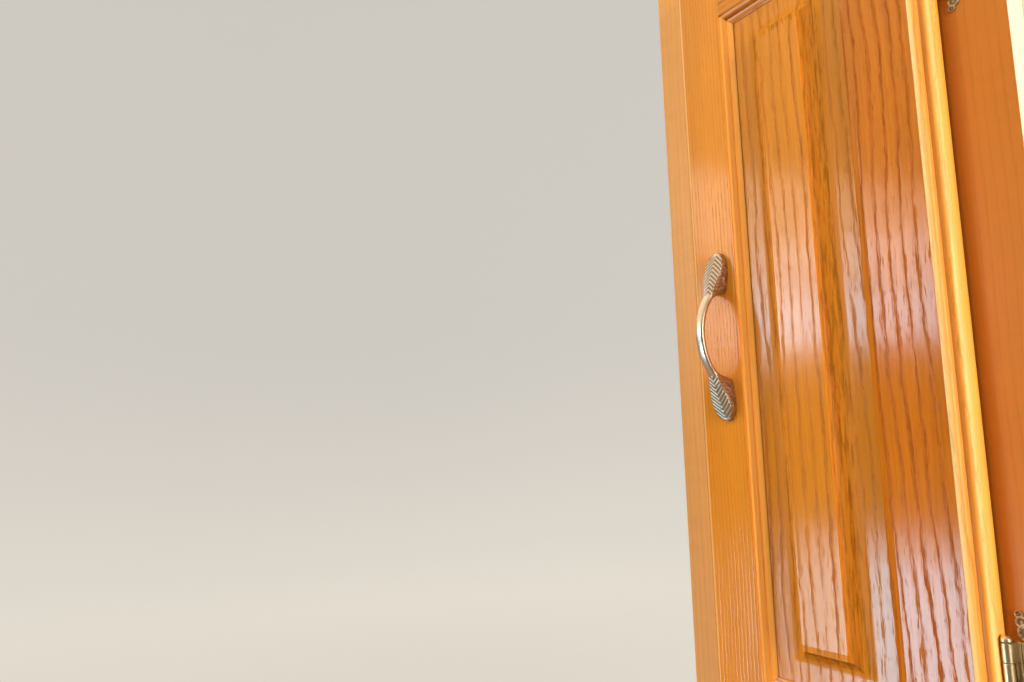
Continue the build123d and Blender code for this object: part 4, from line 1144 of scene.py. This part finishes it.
for node, along, seed in (("top_nailer", "X", 0.0), ("bottom_nailer", "X", 1.0), ("shelf_cleats", "Y", 2.0),
                          ("deck_cleats", "Y", 3.0), ("shelf_front_rails", "X", 4.0)):
    dress(node, pine("pine_" + node, along, seed))


# ================================================================ floor, backdrop and light
def bowl():
    """A pale floor that turns up into a wall all round, well clear of every view."""
    flat, bend, tall, ring_n, arc_n = 6.5, 3.0, 6.5, 96, 12
    rows = [(0.0, 0.0), (flat * 0.5, 0.0), (flat, 0.0)]
    rows += [(flat + bend * math.sin(a), bend * (1 - math.cos(a)))
             for a in (math.pi / 2 * i / arc_n for i in range(1, arc_n + 1))]
    rows += [(flat + bend, bend + tall)]
    bm = bmesh.new()
    centre = bm.verts.new((0, 0, 0))
    rings = []
    for radius, z in rows[1:]:
        rings.append([bm.verts.new((radius * math.cos(2 * math.pi * i / ring_n), radius * math.sin(2 * math.pi * i / ring_n), z))
                      for i in range(ring_n)])
    for i in range(ring_n):
        j = (i + 1) % ring_n
        bm.faces.new((centre, rings[0][i], rings[0][j]))
        for a, b in zip(rings, rings[1:]):
            bm.faces.new((a[i], b[i], b[j], a[j]))
    me = bpy.data.meshes.new("studio_floor")
    bm.to_mesh(me)
    bm.free()
    for p in me.polygons:
        p.use_smooth = True
    o = bpy.data.objects.new("studio_floor", me)
    scene.collection.objects.link(o)
    k = Look("floor_paper")
    x, y, z = k.split(k.coord())
    far = k.math("SQRT", k.math("ADD", k.math("MULTIPLY", x, x), k.math("MULTIPLY", y, y)))
    n = k.noise(k.coord(), 3.0, 4.0)
    k.set("Base Color", k.mix(n, (0.34, 0.332, 0.320), (0.325, 0.317, 0.305)))
    k.set("Roughness", 0.9)
    k.bsdf.inputs["Specular IOR Level"].default_value = 0.2
    k.bsdf.inputs["Emission Color"].default_value = (1.0, 0.975, 0.94, 1.0)
    k.set("Emission Strength", k.step(far, 1.2, 7.5, 0.32, 0.50))
    me.materials.append(k.mat)
    o.visible_glossy = o.visible_diffuse = o.visible_shadow = False


bowl()


def area_light(name, at, aim, wide, high, radiance, colour, glossy=True, diffuse=True, roll=0.0):
    data = bpy.data.lights.new(name, "AREA")
    data.shape, data.size, data.size_y = "RECTANGLE", wide, high
    data.energy = radiance * math.pi * wide * high
    data.color = colour
    o = bpy.data.objects.new(name, data)
    scene.collection.objects.link(o)
    o.location = at
    o.rotation_mode = "QUATERNION"
    turn = (Vector(aim) - Vector(at)).to_track_quat("-Z", "Y")
    o.rotation_quaternion = turn @ Matrix.Rotation(math.radians(roll), 3, "Z").to_quaternion()
    o.visible_camera = False
    o.visible_glossy = glossy
    o.visible_diffuse = diffuse
    return o


DOOR_AT = (0.0, -0.25, 1.50)
# columns: name, place, what it faces, width, height, radiance, colour
area_light("window_high", (-2.12, -3.40, 2.045), (0.0, -0.25, 2.045), 1.10, 0.29, 9.8, (0.46, 0.78, 1.0))
area_light("window_mid", (-2.10, -3.40, 2.33), (0.0, -0.25, 2.33), 1.20, 0.28, 4.4, (0.62, 0.82, 1.0))
area_light("window_glow", (-2.66, -3.40, 2.72), (0.0, -0.25, 2.72), 1.85, 0.52, 3.3, (1.0, 0.90, 0.76), roll=-12.0)
area_light("window_left", (-3.22, -3.40, 2.16), (0.0, -0.25, 2.16), 1.10, 0.62, 3.0, (1.0, 0.84, 0.80))
area_light("window_low_a", (-1.80, -3.40, 0.410), (0.0, -0.25, 0.410), 0.70, 0.84, 12.0, (0.37, 0.76, 1.0))
area_light("window_low_b", (-2.34, -3.20, 0.40), (0.0, -0.25, 0.40), 0.46, 0.83, 6.2, (0.46, 0.82, 1.0))
area_light("window_low_top", (-2.00, -3.40, 0.89), (0.0, -0.25, 0.89), 1.05, 0.11, 5.0, (0.60, 0.82, 1.0))
area_light("right_side", (3.00, -0.60, 1.75), DOOR_AT, 1.6, 1.9, 15.5, (1.0, 0.93, 0.78), glossy=False)
area_light("right_card", (3.00, -0.50, 1.75), DOOR_AT, 1.6, 1.9, 4.5, (1.0, 0.93, 0.80), diffuse=False)
area_light("left_fill", (-3.60, -2.60, 3.00), (0.0, -0.2, 1.2), 1.8, 1.6, 6.4, (1.0, 0.92, 0.78), glossy=False)
area_light("ceiling_glow", (0.10, -1.30, 2.45), (0.0, -0.25, 1.90), 0.8, 0.5, 3.8, (0.68, 0.93, 1.0), glossy=False)
area_light("back_fill", (-0.8, 4.4, 3.0), (0.0, 0.0, 1.0), 3.5, 2.5, 2.2, (1.0, 0.96, 0.90), glossy=False)


def put_world():
    """A soft room: pale ceiling, brighter on the left, brown at eye level."""
    world = bpy.data.worlds.new("soft_room")
    scene.world = world
    world.use_nodes = True
    t = world.node_tree
    t.nodes.clear()
    out = t.nodes.new("ShaderNodeOutputWorld")
    back = t.nodes.new("ShaderNodeBackground")
    t.links.new(back.outputs[0], out.inputs[0])
    coord = t.nodes.new("ShaderNodeTexCoord")
    xyz = t.nodes.new("ShaderNodeSeparateXYZ")
    t.links.new(coord.outputs["Generated"], xyz.inputs[0])
    lift = t.nodes.new("ShaderNodeMapRange")
    lift.inputs[1].default_value, lift.inputs[2].default_value = -1.0, 1.0
    t.links.new(xyz.outputs[2], lift.inputs[0])
    ramp = t.nodes.new("ShaderNodeValToRGB")
    t.links.new(lift.outputs[0], ramp.inputs[0])
    e = ramp.color_ramp.elements
    e[0].position, e[0].color = 0.0, (0.40, 0.31, 0.20, 1)
    e[1].position, e[1].color = 1.0, (0.95, 0.82, 0.58, 1)
    for at, c in ((0.40, (0.22, 0.13, 0.055, 1)), (0.55, (0.10, 0.05, 0.018, 1)), (0.64, (0.42, 0.32, 0.18, 1)),
                  (0.74, (0.86, 0.74, 0.50, 1))):
        e.new(at).color = c
    side = t.nodes.new("ShaderNodeMapRange")
    for i, v in enumerate((-0.9, 0.7, 1.36, 0.54)):
        side.inputs[i + 1].default_value = v
    t.links.new(xyz.outputs[0], side.inputs[0])
    t.links.new(ramp.outputs[0], back.inputs[0])
    t.links.new(side.outputs[0], back.inputs[1])


put_world()
scene.view_settings.view_transform = "Standard"
scene.view_settings.look = "None"
scene.view_settings.exposure = 0.0
scene.view_settings.gamma = 1.0
scene.cycles.use_denoising = True
